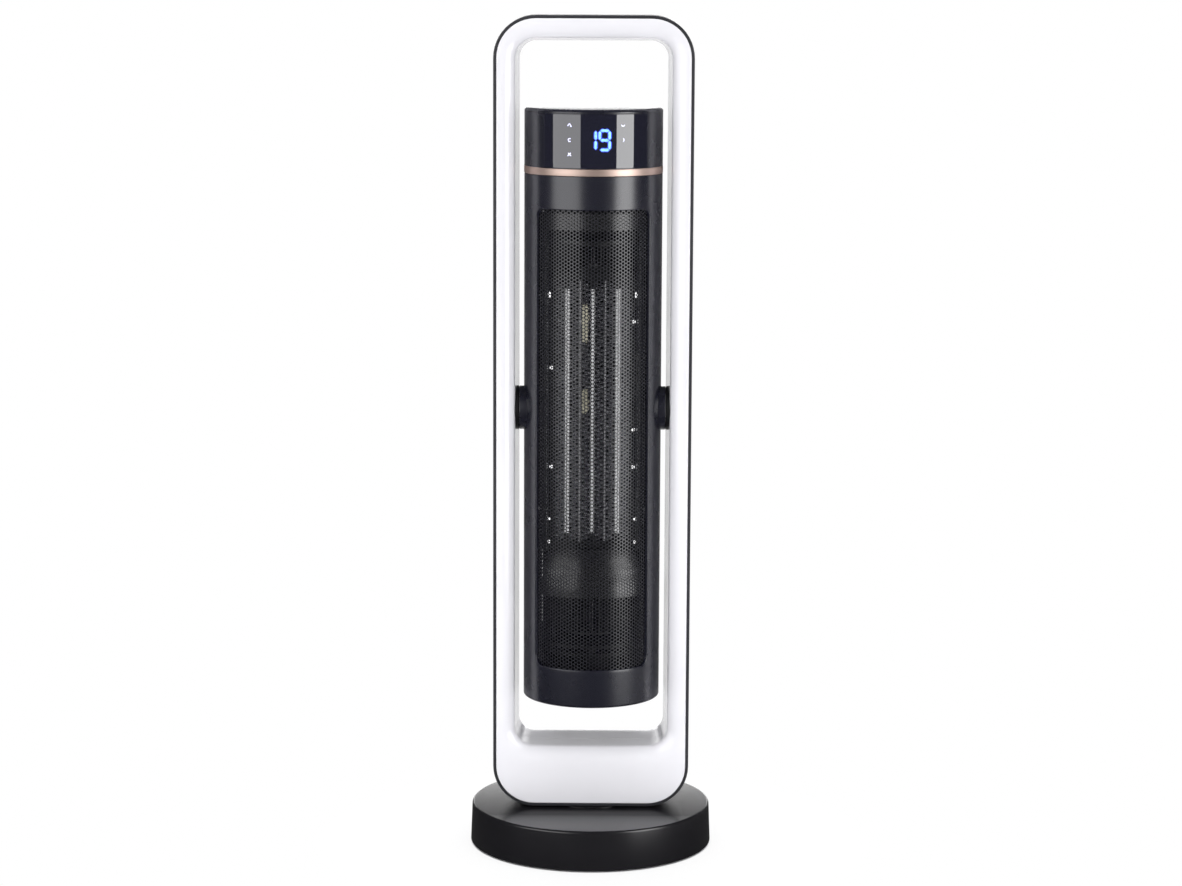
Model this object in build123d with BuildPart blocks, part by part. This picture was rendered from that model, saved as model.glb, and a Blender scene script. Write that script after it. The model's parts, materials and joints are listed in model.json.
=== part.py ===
from build123d import *
from math import acos, asin, cos, degrees, pi, radians, sin, tan
import os

# Tower heater whose round head tilts in a white frame that swivels on a round base.
# Millimetres. Origin on the floor under the middle of the base, +Z up, outlet facing -Y.

# Base
foot_height = 1.5
base_radius = 120.0
base_top_radius = 118.5
base_top = 40.5
skirt_wall = 2.8
plate_thickness = 3.0
screw_radius = 1.5
screw_clearance = 1.6
head_of_screw = 3.0

# Frame
swivel_gap = 1.0
frame_bottom = base_top + swivel_gap
frame_top = 822.0
frame_half_width = 96.9
frame_corner = 41.0
band_thickness = 3.0
band_depth = 58.4
frame_depth = 60.0
half_depth = frame_depth / 2
opening_half_width = 74.4
opening_bottom = 103.5
opening_top = 798.5
opening_corner = 18.0
opening_draft = degrees(asin(2.0 / half_depth))
liner_wall = 2.5
front_inner_round = 10.0
rear_inner_round = 2.0
outer_edge_round = 1.2

# Tilt pivot
pivot_height = 438.5
pivot_radius = 21.6
pivot_hole = 21.9
hub_end = 71.7
socket_face = 72.0
pin_radius = 5.0
bush_bore = 5.05
bush_radius = 8.0

# Head
head_radius = 67.45
shell_wall = 2.5
shell_inner = head_radius - shell_wall
head_bottom = 150.5
ring_bottom = 670.0
ring_top = 677.2
housing_top = 729.8
head_top = 733.6
window_half_angle = 54.4
window_bottom = 188.2
window_top = 637.6
window_corner = 10.0
panel_turn = 2.6
panel_half_angle = 47.2
panel_radius = 65.95

# Heating element
element_bottom = 312.1
element_top = 567.7
element_front = -40.0
element_depth = 12.0
tube_width = 4.4
column_pitch = 24.5
separator_width = 1.4
rail_inner = 36.6
fin_thickness = 0.3
fin_pitch = 4.5

# Blower
blower_y = 14.0
impeller_radius = 30.0
impeller_bottom = 213.0
impeller_top = 601.0
blade_count = 24
fan_shaft_radius = 3.0

# Swivel drive
neck_radius = 22.0
neck_bore = 17.0
gear_module = 1.5
sector_teeth = 60
pinion_teeth = 14
pressure_angle = radians(25)
tooth_clearance = 0.12
sector_pitch_radius = gear_module * sector_teeth / 2
pinion_pitch_radius = gear_module * pinion_teeth / 2
motor_x = sector_pitch_radius + pinion_pitch_radius
gear_bottom = 25.0
gear_thickness = 6.0

front = -90.0
rear = 90.0

os.makedirs("parts", exist_ok=True)


def disc(plane, outer, height, inner=0.0, mode=Mode.ADD):
    """A disc or ring that stands on a plane."""
    with BuildSketch(plane) as section:
        Circle(outer)
        if inner > 0:
            Circle(inner, mode=Mode.SUBTRACT)
    extrude(section.sketch, amount=height, mode=mode)


def discs(plane, centres, outer, height, inner=0.0, mode=Mode.ADD):
    """The same disc or ring at each centre on a plane."""
    with BuildSketch(plane) as section:
        with Locations(*centres):
            Circle(outer)
            if inner > 0:
                Circle(inner, mode=Mode.SUBTRACT)
    extrude(section.sketch, amount=height, mode=mode)


def block(plane, width, depth, height, centre=(0, 0), mode=Mode.ADD):
    """A rectangular block that stands on a plane."""
    with BuildSketch(plane) as section:
        with Locations(centre):
            Rectangle(width, depth)
    extrude(section.sketch, amount=height, mode=mode)


def arc_band(planes, inner, outer, middle, half_angle, height, mode=Mode.ADD):
    """Part of a ring about Z on each plane, from middle - half_angle to middle + half_angle."""
    with BuildSketch(*planes) as section:
        with BuildLine():
            outside = CenterArc((0, 0), outer, middle - half_angle, 2 * half_angle)
            inside = CenterArc((0, 0), inner, middle - half_angle, 2 * half_angle)
            Line(outside @ 0, inside @ 0)
            Line(outside @ 1, inside @ 1)
        make_face()
    extrude(section.sketch, amount=height, mode=mode)


def level(height):
    """A horizontal plane."""
    return Plane.XY.offset(height)


def side_plane(side, distance):
    """A plane across the tilt axis, facing outwards on one side."""
    return Plane(origin=(side * distance, 0, pivot_height), x_dir=(0, side, 0), z_dir=(side, 0, 0))


def rear_facing(y):
    """A plane facing +Y, with its x along -X and its y along +Z."""
    return Plane(origin=(0, y, 0), x_dir=(-1, 0, 0), z_dir=(0, 1, 0))


def tooth_outline(teeth):
    """The root radius, and an involute tooth as (radius, half-angle) from its root to its tip."""
    pitch_radius = gear_module * teeth / 2
    base_circle = pitch_radius * cos(pressure_angle)
    root = pitch_radius - 1.25 * gear_module
    tip = pitch_radius + gear_module
    start = max(base_circle, root)
    thickness_angle = (pi * gear_module / 4 - tooth_clearance) / pitch_radius
    involute_at_pitch = tan(pressure_angle) - pressure_angle
    outline = []
    for step in range(4):
        radius = start + (tip - start) * step / 3
        pressure = acos(min(1.0, base_circle / radius))
        half_angle = thickness_angle + involute_at_pitch - (tan(pressure) - pressure)
        outline.append((radius, half_angle))
    foot = (root - 0.5, outline[0][1])
    return root, [foot, *outline]


def gear_face(teeth, positions, turn):
    """Gear teeth at the given positions on a full root disc, as a flat face."""
    root, outline = tooth_outline(teeth)
    with BuildSketch() as gear:
        Circle(root)
        for position in positions:
            middle = radians(turn + 360 * position / teeth)
            left = [(r * cos(middle + a), r * sin(middle + a)) for r, a in outline]
            right = [(r * cos(middle - a), r * sin(middle - a)) for r, a in reversed(outline)]
            with BuildLine():
                Polyline(*left, *right, close=True)
            make_face()
    return gear.sketch


# ---------------------------------------------------------------- base

boss_ring = 104.0
boss_angles = [22.5 + 45 * n for n in range(8)]
boss_centres = [(boss_ring * cos(radians(a)), boss_ring * sin(radians(a))) for a in boss_angles]
plate_top = foot_height + plate_thickness
motor_top = 22.0
post_offset = 30.0
motor_posts = [(motor_x, -post_offset), (motor_x, post_offset)]
bearing_radius = 25.0
collar_radius = 29.0
collar_bottom = 31.5
cover_underside = base_top - 3.0
switch_x = 18.0
switch_width = 15.0
switch_height = 21.0
switch_middle = 21.5
inlet_x = -20.0
inlet_height = 20.0
inlet_radius = 7.0
inlet_hole = 3.7
inlet_back = 107.5
inlet_length = 9.0
flange_length = 3.0
switch_front = 99.5
switch_length = 17.5

with BuildPart() as base_cover:
    with BuildSketch(Plane.XZ) as cover_section:
        with BuildLine():
            Polyline(
                (base_radius, foot_height),
                (base_top_radius, base_top),
                (bearing_radius, base_top),
                (bearing_radius, collar_bottom),
                (collar_radius, collar_bottom),
                (collar_radius, cover_underside),
                (base_top_radius - skirt_wall, cover_underside),
                (base_radius - skirt_wall, foot_height),
                close=True,
            )
        make_face()
    revolve(axis=Axis.Z)
    fillet(base_cover.edges().filter_by(GeomType.CIRCLE).filter_by_position(Axis.Z, base_top, base_top)
           .sort_by(SortBy.RADIUS)[-1], radius=2.2)
    discs(level(plate_top), boss_centres, 4.5, cover_underside - plate_top, screw_clearance)
    discs(level(motor_top), motor_posts, 4.0, cover_underside - motor_top, screw_clearance)
    with BuildSketch(rear_facing(switch_front)) as rear_holes:
        with Locations((-inlet_x, inlet_height)):
            Circle(inlet_radius)
        with Locations((-switch_x, switch_middle)):
            Rectangle(switch_width, switch_height)
    extrude(amount=skirt_wall + 25, mode=Mode.SUBTRACT)
base_cover.part.label = "base_cover"
export_step(base_cover.part, "parts/base_cover.step")

foot_ring = 90.0
foot_centres = [(foot_ring * cos(radians(a)), foot_ring * sin(radians(a))) for a in (45, 135, 225, 315)]
foot_radius = 9.0
pocket_depth = 2.0

with BuildPart() as base_plate:
    disc(level(foot_height), base_radius - skirt_wall - 0.3, plate_thickness)
    discs(level(foot_height), foot_centres, foot_radius, pocket_depth, mode=Mode.SUBTRACT)
    discs(level(foot_height), boss_centres, screw_clearance, plate_thickness, mode=Mode.SUBTRACT)
    discs(level(foot_height), boss_centres, head_of_screw + 0.3, 1.6, mode=Mode.SUBTRACT)
base_plate.part.label = "base_plate"
export_step(base_plate.part, "parts/base_plate.step")

with BuildPart() as rubber_feet:
    discs(level(0), foot_centres, foot_radius, foot_height + pocket_depth)
    fillet(rubber_feet.faces().group_by(Axis.Z)[0].edges(), radius=0.6)
rubber_feet.part.label = "rubber_feet"
export_step(rubber_feet.part, "parts/rubber_feet.step")

with BuildPart() as base_screws:
    discs(level(foot_height + 0.2), boss_centres, head_of_screw, 1.4)
    discs(level(foot_height + 1.6), boss_centres, screw_radius, 15)
base_screws.part.label = "base_screws"
export_step(base_screws.part, "parts/base_screws.step")

ballast_outer = 98.0
ballast_inner = 34.0
ballast_thickness = 8.0

with BuildPart() as ballast_plate:
    disc(level(plate_top), ballast_outer, ballast_thickness, ballast_inner)
    block(level(plate_top), 80, 84, ballast_thickness, centre=(motor_x + 8, 0), mode=Mode.SUBTRACT)
    block(level(plate_top), 44, 60, ballast_thickness, centre=(-65, 0), mode=Mode.SUBTRACT)
ballast_plate.part.label = "ballast_plate"
export_step(ballast_plate.part, "parts/ballast_plate.step")

with BuildPart() as swivel_bearing:
    disc(level(collar_bottom), bearing_radius, base_top - collar_bottom, neck_radius + 0.05)
    disc(level(base_top), collar_radius + 6, swivel_gap - 0.05, neck_radius + 0.05)
swivel_bearing.part.label = "swivel_bearing"
export_step(swivel_bearing.part, "parts/swivel_bearing.step")

motor_bottom = 7.0
motor_radius = 25.0
motor_shaft = 3.0

with BuildPart() as oscillation_motor:
    disc(Plane(origin=(motor_x, 0, motor_bottom)), motor_radius, motor_top - motor_bottom)
    fillet(oscillation_motor.edges(), radius=1.0)
    block(level(motor_top - 1.5), 12, 2 * post_offset + 12, 1.5, centre=(motor_x, 0))
    discs(level(motor_top - 2), motor_posts, screw_clearance, 3, mode=Mode.SUBTRACT)
    discs(level(motor_bottom + 6), [(motor_x, 0)], motor_shaft + 0.05, 20, mode=Mode.SUBTRACT)
oscillation_motor.part.label = "oscillation_motor"
export_step(oscillation_motor.part, "parts/oscillation_motor.step")

with BuildPart() as motor_screws:
    discs(level(motor_top - 3.5), motor_posts, head_of_screw, 2)
    discs(level(motor_top - 1.5), motor_posts, screw_radius, 12)
motor_screws.part.label = "motor_screws"
export_step(motor_screws.part, "parts/motor_screws.step")

with BuildPart() as osc_pinion:
    face = gear_face(pinion_teeth, range(pinion_teeth), 180 / pinion_teeth)
    extrude(face.moved(Location((motor_x, 0, gear_bottom))), amount=gear_thickness)
    discs(level(motor_bottom + 6.5), [(motor_x, 0)], motor_shaft, gear_bottom - motor_bottom - 6.5)
osc_pinion.part.label = "osc_pinion"
export_step(osc_pinion.part, "parts/osc_pinion.step")

with BuildPart() as tipover_switch:
    block(level(plate_top), 34, 22, 26, centre=(-66, 0))
    fillet(tipover_switch.edges().filter_by(Axis.Z), radius=3)
    block(level(plate_top), 40, 10, 3, centre=(-66, 0))
tipover_switch.part.label = "tipover_switch"
export_step(tipover_switch.part, "parts/tipover_switch.step")

with BuildPart() as cord_inlet:
    inlet_place = [(-inlet_x, inlet_height)]
    discs(rear_facing(inlet_back), inlet_place, inlet_radius, inlet_length, inlet_hole)
    discs(rear_facing(inlet_back - flange_length), inlet_place, inlet_radius + 2.5, flange_length,
          inlet_hole)
cord_inlet.part.label = "cord_inlet"
export_step(cord_inlet.part, "parts/cord_inlet.step")

rocker_width = 9.4
rocker_height = 15.0

with BuildPart() as switch_housing:
    switch_place = (-switch_x, switch_middle)
    block(rear_facing(switch_front), switch_width, switch_height, switch_length, centre=switch_place)
    block(rear_facing(switch_front + 5), rocker_width + 0.8, rocker_height + 2.4, switch_length,
          centre=switch_place, mode=Mode.SUBTRACT)
switch_housing.part.label = "switch_housing"
export_step(switch_housing.part, "parts/switch_housing.step")

rocker_axis_y = switch_front + 11.5
rocker_half = rocker_height / 2

with BuildPart() as switch_rocker:
    rocker_side = Plane(origin=(switch_x - rocker_width / 2, rocker_axis_y, switch_middle),
                        x_dir=(0, 1, 0), z_dir=(1, 0, 0))
    with BuildSketch(rocker_side):
        with BuildLine():
            Polyline((-3, -rocker_half + 1.5), (4.5, -rocker_half), (3.6, 0), (6.3, rocker_half),
                     (-3, rocker_half - 1.5), close=True)
        make_face()
    extrude(amount=rocker_width)
    fillet(switch_rocker.edges().filter_by(Axis.X), radius=0.5)
switch_rocker.part.label = "switch_rocker"
export_step(switch_rocker.part, "parts/switch_rocker.step")


# ---------------------------------------------------------------- frame

frame_height = frame_top - frame_bottom
frame_middle = (frame_top + frame_bottom) / 2
opening_middle = (opening_top + opening_bottom) / 2
opening_height = opening_top - opening_bottom


def frame_loop(inset, y, length):
    """The frame's outer shape, inset all round, from y to y + length."""
    with BuildSketch(rear_facing(y)) as outline:
        with Locations((0, frame_middle)):
            RectangleRounded(2 * (frame_half_width - inset), frame_height - 2 * inset,
                             frame_corner - inset)
    extrude(outline.sketch, amount=length)


def opening_sketch(plane, growth=0.0):
    """The frame's inner opening, half-way through its depth, grown all round."""
    with BuildSketch(plane) as outline:
        with Locations((0, opening_middle)):
            RectangleRounded(2 * (opening_half_width + growth), opening_height + 2 * growth,
                             opening_corner + growth)
    return outline.sketch


with BuildPart() as outer_band:
    frame_loop(0, -band_depth / 2, band_depth)
    with BuildSketch(rear_facing(-band_depth / 2)) as band_hole:
        with Locations((0, frame_middle)):
            RectangleRounded(2 * (frame_half_width - band_thickness),
                             frame_height - 2 * band_thickness, frame_corner - band_thickness)
    extrude(amount=band_depth, mode=Mode.SUBTRACT)
    disc(level(frame_bottom), neck_radius, band_thickness, mode=Mode.SUBTRACT)
outer_band.part.label = "outer_band"
export_step(outer_band.part, "parts/outer_band.step")

frame_screw_x = 84.3
frame_screw_levels = [150.0, 340.0, 540.0, 730.0]
frame_screw_places = [(side * frame_screw_x, z) for side in (-1, 1) for z in frame_screw_levels]
frame_screw_places += [(-50.0, 74.0), (50.0, 74.0)]
frame_boss = 4.0
liner_floor = frame_bottom + band_thickness

with BuildPart() as front_cavity:
    frame_loop(band_thickness + liner_wall, -half_depth + liner_wall, half_depth - liner_wall)
    extrude(opening_sketch(Plane.XZ, liner_wall), amount=half_depth, taper=-opening_draft,
            mode=Mode.SUBTRACT)
    fillet(front_cavity.faces().sort_by(Axis.Y)[0].inner_wires()[0].edges(),
           radius=front_inner_round - liner_wall)

with BuildPart() as front_liner:
    frame_loop(band_thickness, -half_depth, half_depth)
    extrude(opening_sketch(Plane.XZ), amount=half_depth, taper=-opening_draft, mode=Mode.SUBTRACT)
    front_face = front_liner.faces().sort_by(Axis.Y)[0]
    fillet(front_face.inner_wires()[0].edges(), radius=front_inner_round)
    fillet(front_liner.faces().sort_by(Axis.Y)[0].outer_wire().edges(), radius=outer_edge_round)
    add(front_cavity.part, mode=Mode.SUBTRACT)
    with BuildSketch(rear_facing(-half_depth + liner_wall)) as front_bosses:
        with Locations(*[(-x, z) for x, z in frame_screw_places]):
            Circle(frame_boss)
            Circle(screw_clearance, mode=Mode.SUBTRACT)
    extrude(amount=half_depth - liner_wall)
    disc(level(liner_floor), neck_radius, liner_wall, mode=Mode.SUBTRACT)
    for side in (-1, 1):
        disc(side_plane(side, socket_face - 2), pivot_hole, 12, mode=Mode.SUBTRACT)
front_liner.part.label = "front_liner"
export_step(front_liner.part, "parts/front_liner.step")

with BuildPart() as rear_cavity:
    frame_loop(band_thickness + liner_wall, 0, half_depth - liner_wall)
    extrude(opening_sketch(rear_facing(0), liner_wall), amount=half_depth, taper=opening_draft,
            mode=Mode.SUBTRACT)

with BuildPart() as rear_liner:
    frame_loop(band_thickness, 0, half_depth)
    extrude(opening_sketch(rear_facing(0)), amount=half_depth, taper=opening_draft,
            mode=Mode.SUBTRACT)
    rear_face = rear_liner.faces().sort_by(Axis.Y)[-1]
    fillet(rear_face.inner_wires()[0].edges(), radius=rear_inner_round)
    fillet(rear_liner.faces().sort_by(Axis.Y)[-1].outer_wire().edges(), radius=outer_edge_round)
    add(rear_cavity.part, mode=Mode.SUBTRACT)
    with BuildSketch(rear_facing(0)) as rear_bosses:
        with Locations(*[(-x, z) for x, z in frame_screw_places]):
            Circle(frame_boss)
    extrude(amount=half_depth - liner_wall)
    with BuildSketch(rear_facing(0)) as rear_screw_holes:
        with Locations(*[(-x, z) for x, z in frame_screw_places]):
            Circle(screw_clearance)
    extrude(amount=half_depth, mode=Mode.SUBTRACT)
    with BuildSketch(rear_facing(half_depth - 5)) as head_recesses:
        with Locations(*[(-x, z) for x, z in frame_screw_places]):
            Circle(head_of_screw + 0.2)
    extrude(amount=5, mode=Mode.SUBTRACT)
    disc(level(liner_floor), neck_radius, liner_wall, mode=Mode.SUBTRACT)
    for side in (-1, 1):
        disc(side_plane(side, socket_face - 2), pivot_hole, 12, mode=Mode.SUBTRACT)
rear_liner.part.label = "rear_liner"
export_step(rear_liner.part, "parts/rear_liner.step")

with BuildPart() as frame_screws:
    with BuildSketch(rear_facing(-18)) as frame_screw_shanks:
        with Locations(*[(-x, z) for x, z in frame_screw_places]):
            Circle(screw_radius)
    extrude(amount=half_depth + 18 - 5)
    with BuildSketch(rear_facing(half_depth - 5)) as frame_screw_heads:
        with Locations(*[(-x, z) for x, z in frame_screw_places]):
            Circle(head_of_screw)
    extrude(amount=2)
frame_screws.part.label = "frame_screws"
export_step(frame_screws.part, "parts/frame_screws.step")

flange_bottom = liner_floor + liner_wall
flange_thickness = 4.0
flange_screws = [(-46, -14), (-46, 14), (46, -14), (46, 14)]
neck_bottom = 20.5

with BuildPart() as swivel_neck:
    block(level(flange_bottom), 112, 44, flange_thickness)
    fillet(swivel_neck.edges().filter_by(Axis.Z), radius=6)
    disc(level(neck_bottom), neck_radius, flange_bottom - neck_bottom)
    disc(level(neck_bottom), neck_bore, 60, mode=Mode.SUBTRACT)
    discs(level(flange_bottom), flange_screws, screw_clearance, flange_thickness, mode=Mode.SUBTRACT)
swivel_neck.part.label = "swivel_neck"
export_step(swivel_neck.part, "parts/swivel_neck.step")

with BuildPart() as neck_screws:
    discs(level(flange_bottom + flange_thickness), flange_screws, head_of_screw, 2.2)
    discs(level(flange_bottom), flange_screws, screw_radius, flange_thickness)
neck_screws.part.label = "neck_screws"
export_step(neck_screws.part, "parts/neck_screws.step")

sector_span = 9
hub_of_sector = 32.0

with BuildPart() as sector_gear:
    sector_face = gear_face(sector_teeth, range(-sector_span, sector_span + 1), 0)
    extrude(sector_face.moved(Location((0, 0, gear_bottom))), amount=gear_thickness)
    with BuildSketch(level(gear_bottom)) as sector_waste:
        Circle(sector_pitch_radius + 5)
        Circle(hub_of_sector, mode=Mode.SUBTRACT)
        with BuildLine():
            span = (sector_span + 0.5) * 360 / sector_teeth
            outer_arc = CenterArc((0, 0), sector_pitch_radius + 6, -span, 2 * span)
            Line(outer_arc @ 0, (0, 0))
            Line(outer_arc @ 1, (0, 0))
        make_face(mode=Mode.SUBTRACT)
    extrude(amount=gear_thickness, mode=Mode.SUBTRACT)
    disc(level(gear_bottom), neck_radius, gear_thickness, mode=Mode.SUBTRACT)
sector_gear.part.label = "sector_gear"
export_step(sector_gear.part, "parts/sector_gear.step")

with BuildPart() as neck_nut:
    with BuildSketch(level(neck_bottom + 0.5)) as nut_section:
        RegularPolygon(30, 6)
        Circle(neck_radius, mode=Mode.SUBTRACT)
    extrude(amount=gear_bottom - neck_bottom - 0.5)
neck_nut.part.label = "neck_nut"
export_step(neck_nut.part, "parts/neck_nut.step")

bracket_face = 85.0
bracket_thickness = 3.0
bracket_screw_places = [(-14, -30), (14, -30), (-14, 30), (14, 30)]

with BuildPart() as pivot_sockets:
    for side in (-1, 1):
        disc(side_plane(side, socket_face), pivot_radius, 6)
        disc(side_plane(side, socket_face + 6), 14, bracket_face - socket_face - 6)
        disc(side_plane(side, socket_face), pin_radius, 20, mode=Mode.SUBTRACT)
pivot_sockets.part.label = "pivot_sockets"
export_step(pivot_sockets.part, "parts/pivot_sockets.step")

with BuildPart() as pivot_brackets:
    for side in (-1, 1):
        block(side_plane(side, bracket_face), 40, 76, bracket_thickness)
        disc(side_plane(side, bracket_face), pin_radius, bracket_thickness, mode=Mode.SUBTRACT)
        discs(side_plane(side, bracket_face), bracket_screw_places, screw_radius, bracket_thickness,
              mode=Mode.SUBTRACT)
pivot_brackets.part.label = "pivot_brackets"
export_step(pivot_brackets.part, "parts/pivot_brackets.step")

with BuildPart() as bracket_screws:
    for side in (-1, 1):
        discs(side_plane(side, bracket_face - 2), bracket_screw_places, head_of_screw, 2)
        discs(side_plane(side, bracket_face), bracket_screw_places, screw_radius, 4)
bracket_screws.part.label = "bracket_screws"
export_step(bracket_screws.part, "parts/bracket_screws.step")

with BuildPart() as pivot_pins:
    for side in (-1, 1):
        disc(side_plane(side, 57), pin_radius, bracket_face + bracket_thickness - 57, 3.2)
pivot_pins.part.label = "pivot_pins"
export_step(pivot_pins.part, "parts/pivot_pins.step")


# ---------------------------------------------------------------- head

hub_flange = 58.4
hub_flange_radius = 27.5
shell_screw_x = 56.0
shell_screw_levels = [176.0, 330.0, 545.0, 652.0]
shell_screw_places = [(side * shell_screw_x, z) for side in (-1, 1) for z in shell_screw_levels]
shell_boss = 4.0
recess_floor = 29.0


def half_shell(middle):
    """Half of the head's outer tube, facing middle."""
    arc_band([level(head_bottom)], shell_inner, head_radius, middle, 90, ring_bottom - head_bottom)


def head_cutter(middle, half_angle, low, high, corner):
    """A window's shape: a thick band round the head with rounded corners."""
    with BuildPart() as cutter:
        arc_band([level(low)], shell_inner - 12, head_radius + 6, middle, half_angle, high - low)
        radial = [edge for edge in cutter.edges().filter_by(GeomType.LINE)
                  if abs(edge.tangent_at(0.5).Z) < 0.5]
        fillet(radial, radius=corner)
    return cutter.part


front_window = head_cutter(front, window_half_angle, window_bottom, window_top, window_corner)

with BuildPart() as front_shell:
    half_shell(front)
    add(front_window, mode=Mode.SUBTRACT)
    with BuildSketch(rear_facing(-12)) as front_shell_bosses:
        with Locations(*[(-x, z) for x, z in shell_screw_places]):
            Circle(shell_boss)
        for z in shell_screw_levels:
            for side in (-1, 1):
                with Locations((side * (shell_screw_x + shell_inner) / 2, z)):
                    Rectangle(shell_inner - shell_screw_x, 3)
        with Locations(*[(-x, z) for x, z in shell_screw_places]):
            Circle(screw_clearance, mode=Mode.SUBTRACT)
    extrude(amount=12)
    for side in (-1, 1):
        disc(side_plane(side, hub_flange), pivot_hole, 20, mode=Mode.SUBTRACT)
    bottom_edge = front_shell.edges().filter_by(GeomType.CIRCLE).group_by(Axis.Z)[0]
    fillet(bottom_edge.sort_by(SortBy.RADIUS)[-1], radius=2.0)
front_shell.part.label = "front_shell"
export_step(front_shell.part, "parts/front_shell.step")

rear_window_half_angle = 50.0
rear_window_bottom = 205.0
rear_window_top = 640.0
rear_window = head_cutter(rear, rear_window_half_angle, rear_window_bottom, rear_window_top,
                          window_corner)

with BuildPart() as rear_shell:
    half_shell(rear)
    add(rear_window, mode=Mode.SUBTRACT)
    with BuildSketch(rear_facing(0)) as rear_shell_bosses:
        with Locations(*[(-x, z) for x, z in shell_screw_places]):
            Circle(shell_boss)
    extrude(amount=recess_floor + 1)
    with BuildSketch(rear_facing(0)) as shell_screw_holes:
        with Locations(*[(-x, z) for x, z in shell_screw_places]):
            Circle(screw_clearance)
    extrude(amount=60, mode=Mode.SUBTRACT)
    with BuildSketch(rear_facing(recess_floor)) as shell_recesses:
        with Locations(*[(-x, z) for x, z in shell_screw_places]):
            Circle(head_of_screw + 0.2)
    extrude(amount=30, mode=Mode.SUBTRACT)
    for side in (-1, 1):
        disc(side_plane(side, hub_flange), pivot_hole, 20, mode=Mode.SUBTRACT)
    rear_bottom_edge = rear_shell.edges().filter_by(GeomType.CIRCLE).group_by(Axis.Z)[0]
    fillet(rear_bottom_edge.sort_by(SortBy.RADIUS)[-1], radius=2.0)
rear_shell.part.label = "rear_shell"
export_step(rear_shell.part, "parts/rear_shell.step")

with BuildPart() as shell_screws:
    with BuildSketch(rear_facing(-10)) as shell_screw_shanks:
        with Locations(*[(-x, z) for x, z in shell_screw_places]):
            Circle(screw_radius)
    extrude(amount=recess_floor + 10)
    with BuildSketch(rear_facing(recess_floor)) as shell_screw_heads:
        with Locations(*[(-x, z) for x, z in shell_screw_places]):
            Circle(head_of_screw)
    extrude(amount=2)
shell_screws.part.label = "shell_screws"
export_step(shell_screws.part, "parts/shell_screws.step")

grille_thickness = 0.8
grille_outer = shell_inner - 0.1
grille_inner = grille_outer - grille_thickness

with BuildPart() as front_grille:
    arc_band([level(window_bottom - 4)], grille_inner, grille_outer, front, window_half_angle + 3,
             window_top - window_bottom + 8)
front_grille.part.label = "front_grille"
export_step(front_grille.part, "parts/front_grille.step")

slat_height = 3.4
slat_pitch = 7.5
rear_grille_outer = head_radius - 0.4
rear_grille_inner = shell_inner - 1.0
first_slat = rear_window_bottom + 8
slat_count = int((rear_window_top - rear_window_bottom - 14) / slat_pitch)

rib_half_angle = 1.2
column_half_angle = (rear_window_half_angle - 4 - rib_half_angle * 4) / 5
column_angles = [n * 2 * (column_half_angle + rib_half_angle) for n in (-2, -1, 0, 1, 2)]

with BuildPart() as rear_grille:
    arc_band([level(rear_window_bottom + 0.3)], rear_grille_inner, rear_grille_outer, rear,
             rear_window_half_angle - 0.2, rear_window_top - rear_window_bottom - 0.6)
    grille_corners = [edge for edge in rear_grille.edges().filter_by(GeomType.LINE)
                      if abs(edge.tangent_at(0.5).Z) < 0.5]
    fillet(grille_corners, radius=window_corner - 0.5)
    slot_planes = [level(first_slat + slat_pitch * n) for n in range(slat_count)]
    for angle in column_angles:
        arc_band(slot_planes, rear_grille_inner - 2, rear_grille_outer + 2, rear + angle,
                 column_half_angle, slat_pitch - slat_height, mode=Mode.SUBTRACT)
rear_grille.part.label = "rear_grille"
export_step(rear_grille.part, "parts/rear_grille.step")

with BuildPart() as dust_filter:
    arc_band([level(rear_window_bottom - 4)], rear_grille_inner - 2.2, rear_grille_inner - 0.2, rear,
             rear_window_half_angle + 1, rear_window_top - rear_window_bottom + 8)
dust_filter.part.label = "dust_filter"
export_step(dust_filter.part, "parts/dust_filter.step")

with BuildPart() as bottom_cap:
    disc(level(head_bottom + 1.0), shell_inner, 3)
    disc(level(head_bottom + 4.0), shell_inner, 6, shell_inner - 2.5)
bottom_cap.part.label = "bottom_cap"
export_step(bottom_cap.part, "parts/bottom_cap.step")

with BuildPart() as top_cap:
    disc(level(housing_top), head_radius, head_top - housing_top)
    fillet(top_cap.edges().group_by(Axis.Z)[-1], radius=3.0)
    disc(level(housing_top - 4), 63.0, 4, 60.5)
top_cap.part.label = "top_cap"
export_step(top_cap.part, "parts/top_cap.step")

with BuildPart() as trim_ring:
    disc(level(ring_bottom), head_radius + 0.2, ring_top - ring_bottom, 64.4)
    fillet(trim_ring.edges().filter_by(GeomType.CIRCLE).sort_by(SortBy.RADIUS)[-2:], radius=0.6)
trim_ring.part.label = "trim_ring"
export_step(trim_ring.part, "parts/trim_ring.step")

panel_margin = 0.5
housing_inner = 63.2
display_half_angle = 34.0

with BuildPart() as control_housing:
    disc(level(ring_top), head_radius, housing_top - ring_top, housing_inner)
    disc(level(ring_bottom - 6), 64.3, ring_top - ring_bottom + 6, 61.2)
    disc(level(ring_top), housing_inner, 2.5, 61.2)
    arc_band([level(ring_top + panel_margin)], panel_radius, head_radius + 2, front + panel_turn,
             panel_half_angle, housing_top - ring_top - 2 * panel_margin, mode=Mode.SUBTRACT)
    arc_band([level(ring_top + 8)], 60, 70, front + panel_turn, display_half_angle,
             housing_top - ring_top - 16, mode=Mode.SUBTRACT)
control_housing.part.label = "control_housing"
export_step(control_housing.part, "parts/control_housing.step")

with BuildPart() as control_panel:
    arc_band([level(ring_top + panel_margin)], panel_radius, head_radius, front + panel_turn,
             panel_half_angle, housing_top - ring_top - 2 * panel_margin)
control_panel.part.label = "control_panel"
export_step(control_panel.part, "parts/control_panel.step")

board_front = -53.0
display_centre = 3.8
display_middle = 704.6

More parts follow.
